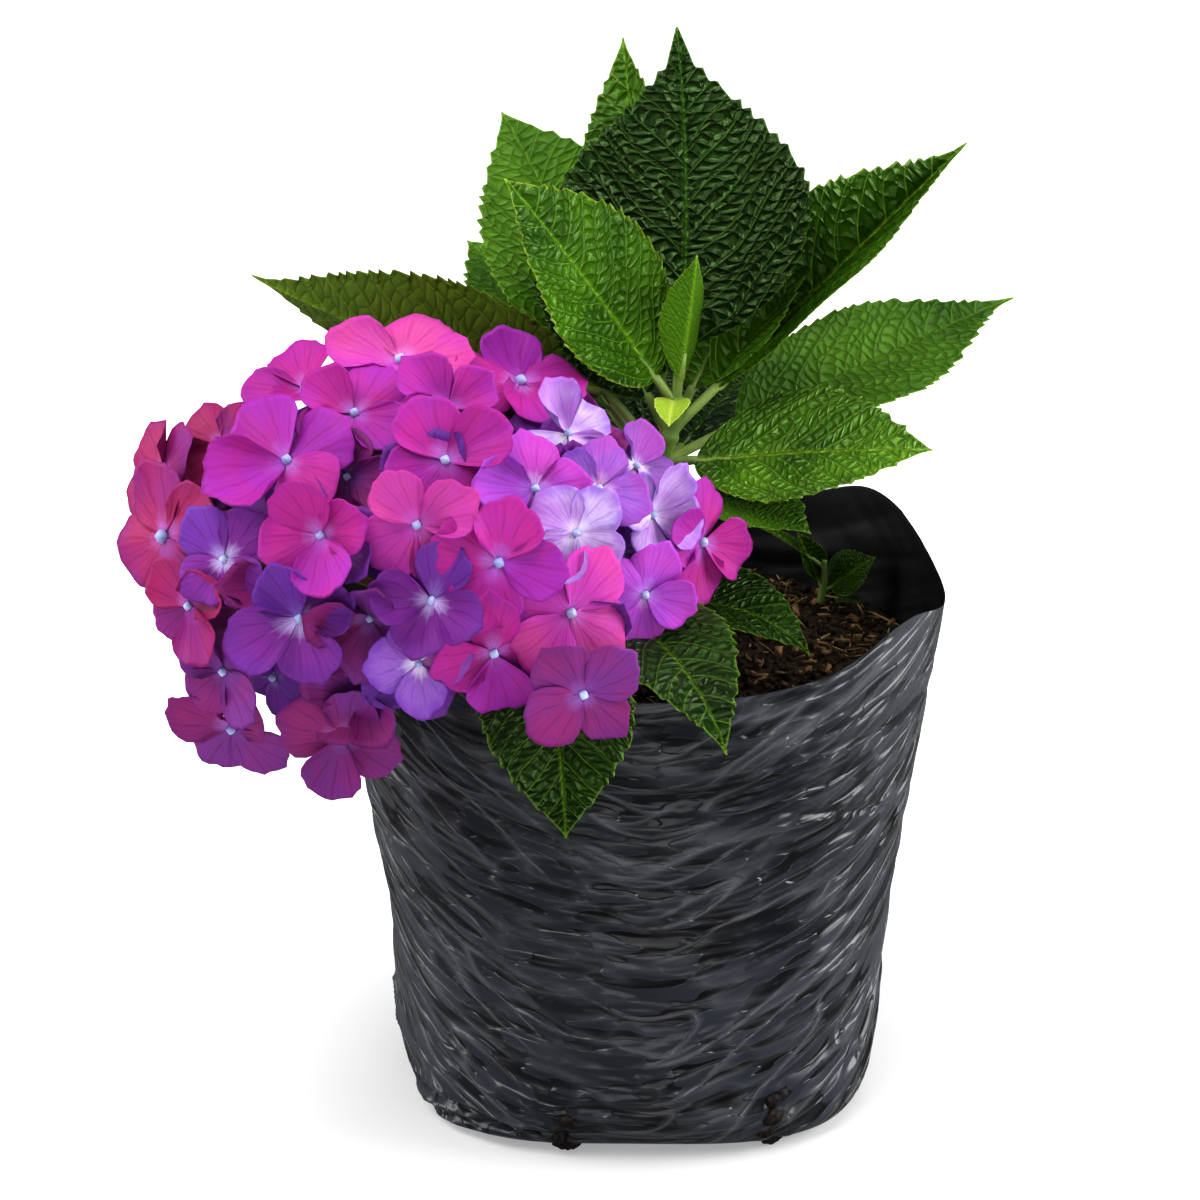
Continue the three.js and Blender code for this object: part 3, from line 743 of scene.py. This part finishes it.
def vein_net(along, across, row, seed):
    """Places on a blade counted in side veins and in the cells along each of them."""
    away = np.abs(across)
    size = row.length / 100
    source = along - (0.86 * away + 0.011 / size * away**2)
    wander = 0.10 * np.sin(away * 0.31 / size + seed) + 0.06 * np.sin(along * 0.21 + seed * 2)
    spacing = row.length / SIDE_VEINS
    side_vein = source / spacing + np.where(across > 0, 0.0, 0.45) + wander
    run = (along + 0.25 * away) / (3.9 * math.sqrt(size)) + 0.30 * np.sin(side_vein * 3.1 + seed)
    return np.stack([side_vein, run, np.zeros_like(run)], -1)


def toothed_reach(t, row, seed):
    """How far a blade reaches from its rib at each share of its length, and its teeth's bite."""
    length, half = row.length, row.width / 2
    teeth = max(6, round(TEETH_PER_100_MM * length / 100))
    count = t * teeth + 0.30 * np.sin(t * 23 + seed) + 0.15 * np.sin(t * 61 + 2 * seed)
    phase = count % 1
    uneven = 0.65 + 0.7 * hashed(np.floor(count), seed)
    bite = min(1.8, 0.055 * half) * uneven
    bite = bite * smoothstep(t, 0.06, 0.2) * smoothstep(1 - t, 0.05, 0.15)
    bite = bite * (np.where(phase < 0.78, (phase / 0.78) ** 1.5, (1 - phase) / 0.22) - 0.40)
    reach = half * blade_share(t, row.tip) + bite
    return np.maximum(reach, 0.3 + TIP_SLOPE * half * (1 - t) * (t > 0.5))[:, None], bite[:, None]


def leaf_piece(name, mass, row, seed, cell, materials):
    """One leaf: a toothed, quilted blade with a thin body, on its stalk."""
    length, half = row.length, row.width / 2
    small = min(1, length / 80)  # small leaves have finer relief
    rows, columns = int(length / cell) + 1, 2 * int(half / cell) + 1
    foot, (at, ahead, left, above) = midrib(row, AXIS_OF[mass], rows - 1)
    rib_at, rib_above = at, above
    t = np.linspace(0, 1, rows)
    reach, bite = toothed_reach(t, row, seed)
    grid_t, grid_u = np.meshgrid(t, np.linspace(-1, 1, columns), indexing="ij")
    across, along = grid_u * reach, grid_t * length
    away = np.abs(across)
    net = vein_net(along, across, row, seed)
    from_side_vein = np.abs(net[..., 0] - np.round(net[..., 0])) / 0.5
    blister = 1 - (1 - from_side_vein) ** 2
    rib = hump(away, 0.9 * (1.1 - grid_t) + 0.25)
    inner = smoothstep(reach - away, 0.0, 3.5)
    quilt = 0.65 * QUILTING.get(row.look, 1.0) * min(1, length / 60)
    wave = np.sin(along / length * 11 + np.sign(across) * 1.3 + seed)
    wave = 0.035 * half * wave * (away / half) ** 2
    lift = quilt * blister * inner - 0.8 * small * hump(away, 1.6) + wave

    fold = math.radians(row.fold)
    left, above, ahead, at = [x[:, None, :] for x in (left, above, ahead, at)]
    rise = (np.sqrt(across**2 + 1.2**2) - 1.2) * math.sin(fold)
    middle = at + left * (across * math.cos(fold))[..., None] + above * rise[..., None]
    past = np.abs(grid_u) - 0.6
    forward = (past > 0) * bite * past / 0.4
    middle = middle + ahead * forward[..., None] * 0.8
    bend = np.sign(across)[..., None] * np.minimum(1, away / 3)[..., None]
    up = above * math.cos(fold) - left * math.sin(fold) * bend
    top = middle + up * lift[..., None]
    body = 0.18 + 0.5 * hump(away, 2.2) * (1.15 - grid_t)
    ridges = 0.45 * np.maximum(rib, hump(from_side_vein, 0.12)) * inner * small
    under = top - up * (body + ridges)[..., None]

    margin = hump(reach - away, 0.55)
    # The third mark, the blister's height, is where the shader paints shade into the sinks between
    # blisters.
    marks_top = np.stack([rib * 0.9, margin, blister * inner], -1)
    marks_under = np.stack([rib, 0.4 * margin, blister * inner], -1)
    faces = shell_quads(rows, columns)
    pile = Pile()
    pile.add(
        np.concatenate([top, under]),
        np.concatenate(faces),
        slot=np.repeat((0, 1, 0), [len(part) for part in faces]),
        marks=np.concatenate([marks_top, marks_under]),
        places=np.concatenate([net, net]),
    )
    thick = STALK_RADIUS * min(1, length / 70)
    share = np.linspace(0, 1, 9)
    start = foot + (rib_at[0] - foot) * share[:, None]
    under_rib = slice(1, int(rows * 0.3), 6)
    end = rib_at[under_rib] - rib_above[under_rib] * 0.7 * thick
    radii = np.interp(share, [0, 0.25, 1], [1.35, 0.95, 0.85])
    radii = np.concatenate([radii, np.linspace(0.8, 0.35, len(end))])
    tube(pile, np.concatenate([start, end]), radii * thick, 12, slot=2)
    to_piece(name, pile, materials, mass)


def grow_leaves():
    looks = {look: [leaf_material(look), leaf_material(look, under=True)] for look in LEAF_LOOKS}
    stalk = stalk_material("leaf_stalk", (0.16, 0.26, 0.05), (0.34, 0.46, 0.12))
    for mass, rows in LEAVES.items():
        for number, row in enumerate(rows, 1):
            cell = min(CELL.get(row.look, COARSEST_CELL), row.length / 60)
            materials = looks[row.look] + [stalk]
            name = f"{mass}_{number}"
            leaf_piece(name, mass, row, number * 2.7, max(FINEST_CELL, cell), materials)


# ---- Flower head ----


def floret_place(side, up, out):
    """Where a floret sits on the head's dome, and which way it faces."""
    toward = heading(side - 90, up)
    slope = unit(toward / HEAD_REACH)
    lean = HEAD_LEAN * min(1, (1 - slope[1]) / 0.8)
    rise = HEAD_RISE * lean * max(0, -slope[2])
    return np.array(HEAD_MIDDLE) + toward * HEAD_REACH * out, unit(slope + (0, -lean, rise))


def golden_walk(count, start, out):
    """Evenly spread places on the dome, on a golden-angle walk from the foot to the top."""
    for k in range(count):
        sine = FILL_LOWEST + (0.98 - FILL_LOWEST) * (k + 0.5) / count
        yield floret_place((k + start) * GOLDEN_ANGLE, math.degrees(math.asin(sine)), out)


def blocked(at):
    """Whether a floret would lie in the bag's rim or in the leafy shoot."""
    over_bag = math.hypot(at[0], at[1]) < BAG["mouth_radius"] + RIM_CLEARANCE
    on_rim = over_bag and at[2] < BAG["height"] + RIM_CLEARANCE
    shoot = at_height(LEAFY_AXIS, min(at[2], LEAFY_AXIS[-1][2]))
    return on_rim or math.hypot(at[0] - shoot[0], at[1] - shoot[1]) < SHOOT_CLEARANCE


def crowded(at, placed, spacing):
    return any(np.linalg.norm(other[0] - at) < spacing for other in placed)


def fill_tint(at, chance):
    """The tint of an unnamed floret, from where it lies on the head."""
    x, _, z = (at - HEAD_MIDDLE) / HEAD_REACH
    if z < -0.25:
        return "plum" if x < 0.2 else "purple"
    if x < -0.55:
        return "crimson" if z > 0.1 else "purple"
    if x > 0.35:
        return ("violet", "pale", "orchid")[int(chance * 3)]
    if z > 0.6:
        return ("magenta", "pink", "magenta")[int(chance * 3)]
    return ("magenta", "pink", "purple")[int(chance * 3)]


def all_florets():
    """The named florets, and those that the walk adds where there is room."""
    placed = [(*floret_place(side, up, out), size, tint) for side, up, out, size, tint in FLORETS]
    chance = seeded(19)
    for at, facing in golden_walk(FILL_CANDIDATES, 0, 1):
        if not crowded(at, placed, FILL_SPACING) and not blocked(at):
            placed.append((at, facing, FILL_SIZE, fill_tint(at, next(chance))))
    return placed


def inner_florets(outer):
    """Smaller florets under the outer ones, which close the head."""
    placed = []
    for at, facing in golden_walk(FILL_CANDIDATES * 2, 0.5, INNER_OUT):
        full = crowded(at, placed, INNER_SPACING) or crowded(at, outer, 10)
        if not full and not blocked(at):
            placed.append((at, facing, INNER_SIZE, "purple" if len(placed) % 3 else "plum"))
    return placed


def sepal_points(at, facing, outward, size, lift, chance, grid):
    """One sepal: a fan from its claw, cupped, curled at the sides and a little ruffled."""
    across = np.cross(facing, outward)
    share = np.linspace(0.04, 1, grid[0])[:, None]
    turn = np.linspace(-1, 1, grid[1])[None, :]
    away = np.abs(turn)
    r1, r2, r3, r4, r5, r6, r7, r8, tone = (next(chance) for _ in range(9))
    outline = 1 - (0.14 + 0.16 * r2) * away**1.7 - 0.34 * away**6
    outline = outline + (0.03 + 0.09 * r1) * hump(turn, 0.16)
    notches = 0.014 * np.sin(17 * turn + 9 * r4) + 0.012 * np.sin(29 * turn + 7 * r5)
    outline = outline * (1 + 0.16 * (r3 - 0.5) * turn + notches)
    r = size * (0.98 + 0.2 * r6) * outline * share
    half = (49 + 12 * r7) * (0.80 + 0.20 * smoothstep(share, 0, 0.4))
    angle = np.radians(half * turn + 12 * (r8 - 0.5))
    cup, tilt, curl = 0.40 * r2 - 0.16, 0.40 * (r5 - 0.45), 0.50 * (r4 - 0.42)
    if r3 > 0.9:
        cup, tilt = 0.2, 0.55
    z = lift + size * (cup * share**2.4 + curl * away**2 * share**1.6 + 0.05 * share) + tilt * r
    z = z + size * 0.042 * np.sin((3.4 + 2.4 * r1) * turn + 6.28 * r3) * share**2
    z = z + size * 0.026 * np.sin((7 + 4 * r2) * turn + 6.28 * r6) * share**3
    z = z - size * 0.022 * hump(turn, 0.1) * share
    flat = outward * (r * np.cos(angle))[..., None] + across * (r * np.sin(angle))[..., None]
    top = at + flat + facing * z[..., None]
    mark = np.stack(np.broadcast_arrays(share, (turn + 1) / 2, tone), -1)
    return np.concatenate([top, top - facing * SEPAL_BODY]), np.concatenate([mark, mark])


def eye(pile, at, facing, radius, slot):
    """The small closed bud in a floret's middle: a bead with four bumps."""
    first = unit(np.cross(facing, (0.3, 0.5, 0.8)))
    second = np.cross(facing, first)
    rings, sides = 6, 12
    polar = np.linspace(0.08, math.pi * 0.72, rings)[:, None]
    turn = angles(sides)[None, :]
    r = radius * (1 + 0.12 * np.cos(4 * turn) * np.sin(polar))
    points = (
        at
        + facing * (r * np.cos(polar) + radius * 0.7)[..., None]
        + first * (r * np.sin(polar) * np.cos(turn))[..., None]
        + second * (r * np.sin(polar) * np.sin(turn))[..., None]
    )
    points = np.concatenate([points.reshape(-1, 3), [at + facing * radius * 1.72]])
    cap = fan(rings * sides, np.arange(sides))[:, ::-1]
    pile.add(points, grid_quads(rings, sides, closed=True)[:, :, ::-1], cap, slot)


def add_floret(pile, place, slot, eye_slot, spin, chance, grid, sway):
    at, facing, size = place[:3]
    faces = np.concatenate(shell_quads(*grid))
    level = np.array([0, 0, 1.0]) if abs(facing[2]) < 0.9 else np.array([0, -1.0, 0])
    nod = unit(np.array([next(chance), next(chance), next(chance)]) - 0.5)
    facing = unit(facing + nod * sway)
    first = turned(unit(np.cross(level, facing)), facing, spin)
    for k in range(4):
        outward = turned(first, facing, 90 * k)
        points, marks = sepal_points(at, facing, outward, size, 0.8 * (k % 2), chance, grid)
        pile.add(points, faces, slot=slot, marks=marks)
    eye(pile, at, facing, 0.085 * size, eye_slot)


def head_pieces():
    tints = list(TINTS)
    materials = [sepal_material(tint) for tint in tints]
    materials.append(stalk_material("floret_eye", (0.30, 0.36, 0.66), (0.52, 0.58, 0.82)))
    green = stalk_material("floret_stalk", (0.20, 0.06, 0.03), (0.30, 0.26, 0.06))
    spin, chance = seeded(71), seeded(5)
    stalks, piles = Pile(), [Pile(), Pile(), Pile()]
    hub = np.array(HEAD_HUB, float)
    ends = []
    for k in range(BRANCHES):
        end = floret_place(k * GOLDEN_ANGLE, -25 + 100 * k / (BRANCHES - 1), 0.5)[0]
        ends.append(end)
        bow = (hub + end) / 2 + (0, 0, 2.5)
        tube(stalks, [hub, (hub + bow) / 2, bow, end], [2.2, 1.9, 1.7, 1.5], 8)
    outer = all_florets()
    for number, place in enumerate(outer + inner_florets(outer)):
        at, facing, size, tint = place
        on_top = number < len(outer)
        pile = piles[number % 2 if on_top else 2]
        grid = SEPAL_GRID if on_top else INNER_GRID
        sway = 0.12 if number < len(FLORETS) else 0.3
        turn = 90 * next(spin)
        add_floret(pile, place, tints.index(tint), len(tints), turn, chance, grid, sway)
        root = min(ends, key=lambda end: np.linalg.norm(end - at))
        neck = at - facing * 0.35 * size
        bow = (root + neck) / 2 + facing * 2
        tube(stalks, [root, bow, neck, at - facing * 0.2], [1.0, 0.8, 0.75, 1.0], 7)
    for number, pile in enumerate(piles, 1):
        to_piece(f"florets_{number}", pile, materials, "flower_head")
    peduncle = [at_height(FLOWER_AXIS, z) for z in (PEDUNCLE_FOOT + 0.3, 209, 211)]
    tube(stalks, peduncle + [FLOWER_AXIS[-1], hub], [3.5, 3.4, 3.3, 3.0, 2.6], 14)
    to_piece("floret_stalks", stalks, [green], "flower_head")


# ---- Stems ----


def stem_points(axis, step, high=None):
    """Points and radii along an axis, rounded at its bends."""
    foot, tip = axis[0][2], axis[-1][2]
    high = high or tip
    heights = np.append(np.arange(foot, high, step), high)
    points = np.array([at_height(axis, z) for z in heights])
    for _ in range(6):
        points[1:-1] = (points[:-2] + 2 * points[1:-1] + points[2:]) / 4
    return points, STEM_FOOT + (STEM_TIP - STEM_FOOT) * (heights - foot) / (tip - foot)


def stem(name, node, material, points, radii, sides):
    pile = Pile()
    tube(pile, points, radii, sides)
    to_piece(name, pile, [material], node)


def stems():
    bark = bark_material()
    green = stalk_material("stem_green", (0.10, 0.20, 0.03), (0.28, 0.40, 0.09))
    x, y, z, radius = np.array(MAIN_STEM, float).T
    heights = np.linspace(z[0], z[-1], 24)
    radii = np.interp(heights, z, radius)
    radii *= 1 + 0.05 * np.sin(heights * 2.1) + 0.03 * np.sin(heights * 5.3)
    path = np.stack([np.interp(heights, z, x), np.interp(heights, z, y), heights], -1)
    stem("main_stem_bark", "main_stem", bark, path, radii, 28)
    points, radii = stem_points(LEAFY_AXIS, 1.0)
    for node in LEAF_NODES:
        radii = radii + 0.9 * hump(points[:, 2] - node, 2.2)
    stem("leafy_stem_green", "leafy_stem", green, points, radii, 20)
    points, radii = stem_points(FLOWER_AXIS, 0.6, PEDUNCLE_FOOT)
    radii = radii + 0.7 * hump(points[:, 2] - 200, 1.5)
    stem("flower_stem_green", "flower_stem", green, points, radii, 18)
    points, radii = stem_points(BASAL_AXIS, 1.0)
    stem("basal_stem_green", "basal_shoot", green, points, radii * BASAL_GIRTH, 12)


# ---- Bag and soil ----

BELLY = 3.7  # how far the film bulges low down, beyond the solid
FOLD_RADIUS = 90  # the bag's, where its folds are measured along it
WALL_GRID = (205, 460)
# Folds pressed into the film: depth, half-width, and the path in bearings and heights.
FOLDS = [
    (3.2, 1.5, [(-174, 34), (-168, 21), (-158, 12), (-143, 12.5), (-132, 12.5), (-121, 11)]),
    (2.6, 1.3, [(-156, 3), (-147, 4.5), (-135, 8), (-125, 9.6), (-114, 10)]),
    (0.9, 1.1, [(-102, 151), (-87, 149.5), (-75, 149), (-60, 145.5), (-48, 140), (-30, 131)]),
    (1.2, 1.8, [(-107, 22), (-107.5, 12), (-109, 2)]),
    (1.4, 2.0, [(-59, 22), (-58.5, 12), (-58, 2)]),
]
# Soil that stands out of the two torn drain holes: bearing, height, half-width, half-height.
CLODS = [
    (-107, 18.5, 4.6, 2.5),
    (-109, 9.5, 3.2, 3.0),
    (-108.5, 3.6, 5.6, 3.0),
    (-58.6, 22.5, 3.4, 3.0),
    (-59, 15.5, 5.2, 3.6),
    (-60.5, 9.5, 4.0, 3.0),
    (-57.5, 3.0, 5.0, 2.6),
]
# Crumbs of peat, chips of bark and fibres: the share of each, and half its length, width and depth.
CRUMB_COUNT, CRUMB_SHARES, STEM_CLEARANCE = 2600, (0.72, 0.18, 0.10), 9
CRUMB_SIZES = ((1.3, 1.2, 0.9), (2.6, 1.2, 0.5), (4.5, 0.28, 0.25))


def rim_rise(bearing):
    """How far the rim stands above the bag's height on each bearing."""
    away = [(bearing - peak + 180) % 360 - 180 for peak, _, _ in RIM_PEAKS]
    return sum(rise * hump(x, spread) for x, (_, rise, spread) in zip(away, RIM_PEAKS))


def bag_outline(share, bearing, inset=0.0):
    """The bag's outline at shares of its height, on every bearing, with the film's belly."""
    level = share * BAG["height"]
    inset = inset - BELLY * hump(level - 20, 48) * smoothstep(level, 0, 5)
    blend = np.clip(level / BAG["waist_height"], 0, 1)
    round_share = np.sqrt(1 - (1 - blend) ** 2)
    flare = np.clip(level - BAG["waist_height"], 0, None) / (BAG["height"] - BAG["waist_height"])
    radius = BAG["waist_radius"] + (BAG["mouth_radius"] - BAG["waist_radius"]) * flare
    half_width, half_depth = (
        BAG[base] + (radius - BAG[base]) * round_share - inset
        for base in ("base_half_width", "base_half_depth")
    )
    power = BAG["base_squareness"] + (2 - BAG["base_squareness"]) * round_share
    c, s = np.cos(np.radians(bearing)), np.sin(np.radians(bearing))
    out = (np.abs(c) ** power + np.abs(s) ** power) ** (-1 / power)
    lifted = rim_rise(bearing) * smoothstep(share, SOIL_EDGE / BAG["height"], 1)
    return np.stack([half_width * c * out, half_depth * s * out, level + lifted], -1)


def pressed(bearing, level):
    """How deep the folds press the film in at places on it."""
    depth = np.zeros_like(level)
    along = np.radians(bearing) * FOLD_RADIUS
    along = np.where(along > 0, along - 2 * math.pi * FOLD_RADIUS, along)
    for most, wide, path in FOLDS:
        knots = np.array(path) * (math.pi / 180 * FOLD_RADIUS, 1)
        near = np.full(level.shape, 1e9)
        for a, b in zip(knots[:-1], knots[1:]):
            step = b - a
            k = np.clip(((along - a[0]) * step[0] + (level - a[1]) * step[1]) / (step @ step), 0, 1)
            gap = np.hypot(along - a[0] - k * step[0], level - a[1] - k * step[1])
            near = np.minimum(near, gap)
        depth += most * (hump(near, wide) - 0.35 * hump(near - 2.4 * wide, wide))
    return depth


def ridged(points, scale, offset, sharp=2.2):
    """Noise with sharp crests, from about -1 to 1."""
    return 1 - sharp * np.abs(noise_at(points, scale, offset))


def creases(points, bearing):
    """Height of the film's wrinkles, and marks: the flow they follow, and where the colour gets
    painted highlights on the crests and painted shade in the hollows.
    """
    from_front = (bearing + 90 + 180) % 360 - 180
    side = np.where(from_front > 0, 1, -1)
    from_front = np.abs(from_front) / 90
    sag = 62 * np.clip(1.01 - np.hypot(1 - from_front, 0.14), 0, 1) ** 2.2
    drawn = points.copy()
    drawn[..., 2] = points[..., 2] - sag
    drawn[..., 2] += 2.5 * noise_at(drawn, (30, 30, 26), 2.0)
    broad = ridged(drawn, (110, 110, 15), 3.1)
    middling = ridged(drawn, (64, 64, 7.6), 6.4)
    short = ridged(drawn, (34, 34, 4.4), 11.7)
    swell = noise_at(drawn, (60, 60, 24), 7.3)
    along = np.radians(bearing) * 100
    slant = points[..., 2] - 0.75 * side * (along + 157)
    diagonal = np.stack([along / 1.3, side * 40, slant], -1)
    crossing = np.maximum(ridged(diagonal, (70, 30, 14), 5.5, 3.4), 0)
    crossing = crossing * smoothstep(noise_at(points, (50, 50, 50), 9.1), -0.1, 0.4)
    patch = 0.6 + 0.8 * noise_at(points, (38, 38, 22), 15.0)
    height = 2.1 * broad + 1.7 * middling * (0.7 + patch / 2) + 0.5 * short * patch + 2.2 * swell
    height = height + 1.8 * crossing
    short_crest = short * np.clip(patch, 0, 1)
    # The crest and hollow marks tell the shader where to paint highlights and shade.
    painted_crest_highlight = np.maximum.reduce([middling, short_crest, 0.95 * crossing, 0.8 * broad])
    painted_hollow_shade = smoothstep(-(broad + middling + short) / 3, 0.0, 0.5)
    return height, np.stack([drawn[..., 2] / 200 + 1, np.clip(painted_crest_highlight, 0, 1) ** 7, painted_hollow_shade], -1)


def bag_wall_points(share, bearing, inset=0.0):
    """The wrinkled film at shares of the bag's height, on every bearing, and its marks."""
    points = bag_outline(share, bearing)
    outward = unit_rows(points * (1, 1, 0))
    height, marks = creases(points, bearing)
    calm = smoothstep(share, 0.0, 0.04) * (1 - 0.8 * smoothstep(share, 0.90, 1))
    shift = (0.55 * height - 2.0) * calm - pressed(bearing, points[..., 2]) - inset
    points = points + outward * shift[..., None]
    points[..., 2] += 0.6 * noise_at(points, (22, 22, 200), 21.0) * smoothstep(share, 0.9, 1)
    return points, marks


def bag_piece(name, rings, film, marks=None):
    pile = Pile()
    pile.add(rings, grid_quads(len(rings), rings.shape[1], closed=True), marks=marks)
    to_piece(name, pile, [film], "grow_bag")


def bag_pieces():
    levels, around = WALL_GRID
    bearing = angles(around, 360)
    film, inside_film = bag_material(), inner_bag_material()
    points, marks = bag_wall_points(*np.meshgrid(np.linspace(0, 1, levels), bearing, indexing="ij"))
    bag_piece("bag_wall", points, film, marks)
    down = np.linspace(1, (SOIL_EDGE - 6) / BAG["height"], 32)
    inside = bag_wall_points(*np.meshgrid(down, bearing, indexing="ij"), 0.5)[0]
    bag_piece("bag_inside", np.concatenate([points[-1:], inside]), inside_film)
    clods()
    inward = np.linspace(1, 0.02, 30)
    rings = np.stack([points[0] * (k, k, 0) for k in inward])
    bag_piece("bag_underside", rings, film, np.stack([marks[0]] * len(inward)))


def clods():
    """Lumps of dark, damp soil in the torn drain holes."""
    damp = speckled("damp_soil", (0.003, 0.002, 0.002), (0.030, 0.018, 0.012), 420, 0.55, 0.8)
    pile = Pile()
    rings, sides = 18, 26
    polar = np.linspace(0.05, math.pi - 0.05, rings)
    polar, turn = np.meshgrid(polar, angles(sides), indexing="ij")
    count, ring = rings * sides, np.arange(sides)
    foot = fan(count + 1, ring)[:, [0, 2, 1]] + (0, count - sides, count - sides)
    caps = np.concatenate([fan(count, ring), foot])
    for angle, height, wide, tall in CLODS:
        at = bag_outline(np.array([height / BAG["height"]]), np.array([float(angle)]))[0]
        out = unit(at * (1, 1, 0))
        across = np.array([-out[1], out[0], 0])
        points = (
            (np.sin(polar) * np.cos(turn))[..., None] * across * wide
            + (np.sin(polar) * np.sin(turn))[..., None] * out * 2.4
            + np.cos(polar)[..., None] * np.array([0, 0, tall])
        )
        lumps = 1 + 0.30 * noise_at(points + at, (1.6, 1.6, 1.6))
        points = points * lumps[..., None] + at - out * 1.6
        points[..., 2] = np.maximum(points[..., 2], 0.1)
        ends = np.stack([points[0].mean(0), points[-1].mean(0)])
        points = np.concatenate([points.reshape(-1, 3), ends])
        pile.add(points, grid_quads(rings, sides, closed=True), caps)
    to_piece("drain_soil", pile, [damp])


def soil_level(radius):
    """The mounded soil's height at distances from the bag's axis, without its lumps."""
    out = (radius - SOIL_CROWN_RADIUS) / (SOIL_RADIUS - SOIL_CROWN_RADIUS)
    return SOIL_EDGE + (SOIL_CROWN - SOIL_EDGE) * (1 - np.clip(out, 0, 1))


def soil_pieces():
    around, rings = 160, 90
    bearing = angles(around, 360)
    edge = bag_outline(np.full(around, SOIL_EDGE / BAG["height"]), bearing, 1.2)
    points = np.stack([edge * (k, k, 1) for k in np.linspace(1, 0.01, rings)])
    points[..., 2] = soil_level(np.hypot(points[..., 0], points[..., 1]))
    lumps = 2.2 * noise_at(points, (14, 14, 14)) + 1.2 * noise_at(points, (5, 5, 5), 4.0)
    lumps = lumps + 0.7 * noise_at(points, (2.4, 2.4, 2.4), 9.0)
    points[..., 2] += lumps - 1.0
    pile = Pile()
    pile.add(points, grid_quads(rings, around, closed=True))
    mix = speckled("potting_mix", (0.010, 0.006, 0.003), (0.090, 0.052, 0.028), 260, 0.95, 1.2)
    to_piece("soil_surface", pile, [mix], "soil")
    crumbs(mix)


def crumbs(mix):
    """Crumbs of peat, bark chips and fibres that lie on the soil."""
    chance = np.random.default_rng(8)
    bark = speckled("bark_chip", (0.16, 0.08, 0.035), (0.48, 0.29, 0.15), 300, 0.85, 0.8)
    pale = speckled("straw_fibre", (0.30, 0.18, 0.07), (0.62, 0.45, 0.22), 300, 0.8, 0.3)
    pile = Pile()
    box = np.array([[x, y, z] for z in (-1, 1) for y in (-1, 1) for x in (-1, 1)], float)
    sides = [[0, 2, 3, 1], [4, 5, 7, 6], [0, 1, 5, 4], [2, 6, 7, 3], [0, 4, 6, 2], [1, 3, 7, 5]]
    for _ in range(CRUMB_COUNT):
        radius = (SOIL_RADIUS - 2) * math.sqrt(chance.random())
        turn = chance.random() * 2 * math.pi
        kind = chance.choice(3, p=CRUMB_SHARES)
        size = CRUMB_SIZES[kind] * chance.uniform(0.5, 1.5, 3)
        spot = np.array([radius * math.cos(turn), radius * math.sin(turn), 0])
        spot[2] = soil_level(radius) + chance.uniform(-0.8, 1.6)
        if math.hypot(spot[0] - MAIN_STEM[0][0], spot[1] - MAIN_STEM[0][1]) < STEM_CLEARANCE:
            continue
        shape = box * size * chance.uniform(0.55, 1.1, (8, 3))
        shape = turn_points(shape, unit(chance.normal(size=3) + (0, 0, 2.0)), chance.random() * 360)
        shape = turn_points(shape, np.array([1.0, 0, 0]), chance.normal() * 22)
        pile.add(shape + spot, sides, slot=kind)
    to_piece("soil_crumbs", pile, [mix, bark, pale], "soil")


# ---- Studio ----

TARGET, DISTANCE, ELEVATION, LENS = (-15, 0, 193), 1270, 20, 100
FLOOR_REACH = 12.0  # metres, as the lamps' places and sizes are
# Each lamp: its name, place, size and power.
LAMPS = [
    ("key", (-0.6, -0.6, 1.55), 1.0, 18),
    ("top", (0.25, 0.35, 1.6), 1.2, 13),
    ("right", (1.35, -0.1, 0.7), 1.0, 23),
    ("left", (-1.4, 0.1, 0.7), 1.0, 13),
    ("front", (0.3, -1.5, 1.25), 1.2, 2.5),
    ("low", (0.1, -1.9, 0.3), 1.5, 9),
]


def studio():
    climb = math.radians(ELEVATION)
    back = Vector((0, -math.cos(climb), math.sin(climb)))
    camera = linked("camera", bpy.data.cameras.new("camera"))
    camera.location = (Vector(TARGET) + back * DISTANCE) * MM
    camera.rotation_euler = (-back).to_track_quat("-Z", "Y").to_euler()
    camera.data.lens = LENS
    scene = bpy.context.scene
    scene.camera = camera

    mesh = bpy.data.meshes.new("floor")
    far = FLOOR_REACH
    corners = [(-far, -far, 0), (far, -far, 0), (far, far, 0), (-far, far, 0)]
    mesh.from_pydata(corners, [], [(0, 1, 2, 3)])
    # The floor glows as painted light: dimmer near the bag and brighter from about 0.6 m out.
    pale = Nodes("floor", Roughness=0.9, Specular_IOR_Level=0.05, Emission_Strength=1.0)
    pale.shader.inputs["Base Color"].default_value = (0.62, 0.62, 0.62, 1)
    away = pale.node("ShaderNodeVectorMath", operation="LENGTH")
    pale.feed(away.inputs[0], pale.coordinates())
    share = Wire(pale, away.outputs["Value"]) * 0.5
    pale.set("Emission Color", pale.ramp(share, (0.05, 0.34), (0.30, 0.90)))
    mesh.materials.append(pale.material)
    floor = linked("floor", mesh)
    floor.visible_glossy = False

    world = bpy.data.worlds.new("studio")
    world.use_nodes = True
    background = world.node_tree.nodes["Background"]
    background.inputs["Color"].default_value = (1, 1, 1, 1)
    background.inputs["Strength"].default_value = 0.10
    scene.world = world
    for row in LAMPS:
        lamp(*row)
    scene.view_settings.view_transform = "Standard"
    scene.view_settings.exposure, scene.view_settings.gamma = 0.10, 0.82


def lamp(name, place, size, power):
    data = bpy.data.lights.new(name, "AREA")
    data.shape, data.size, data.energy = "SQUARE", size, power
    light = linked(name, data)
    light.location = place
    aim = Vector((0, 0, 0.2)) - Vector(place)
    light.rotation_euler = aim.to_track_quat("-Z", "Y").to_euler()


studio()
bag_pieces()
soil_pieces()
stems()
grow_leaves()
head_pieces()
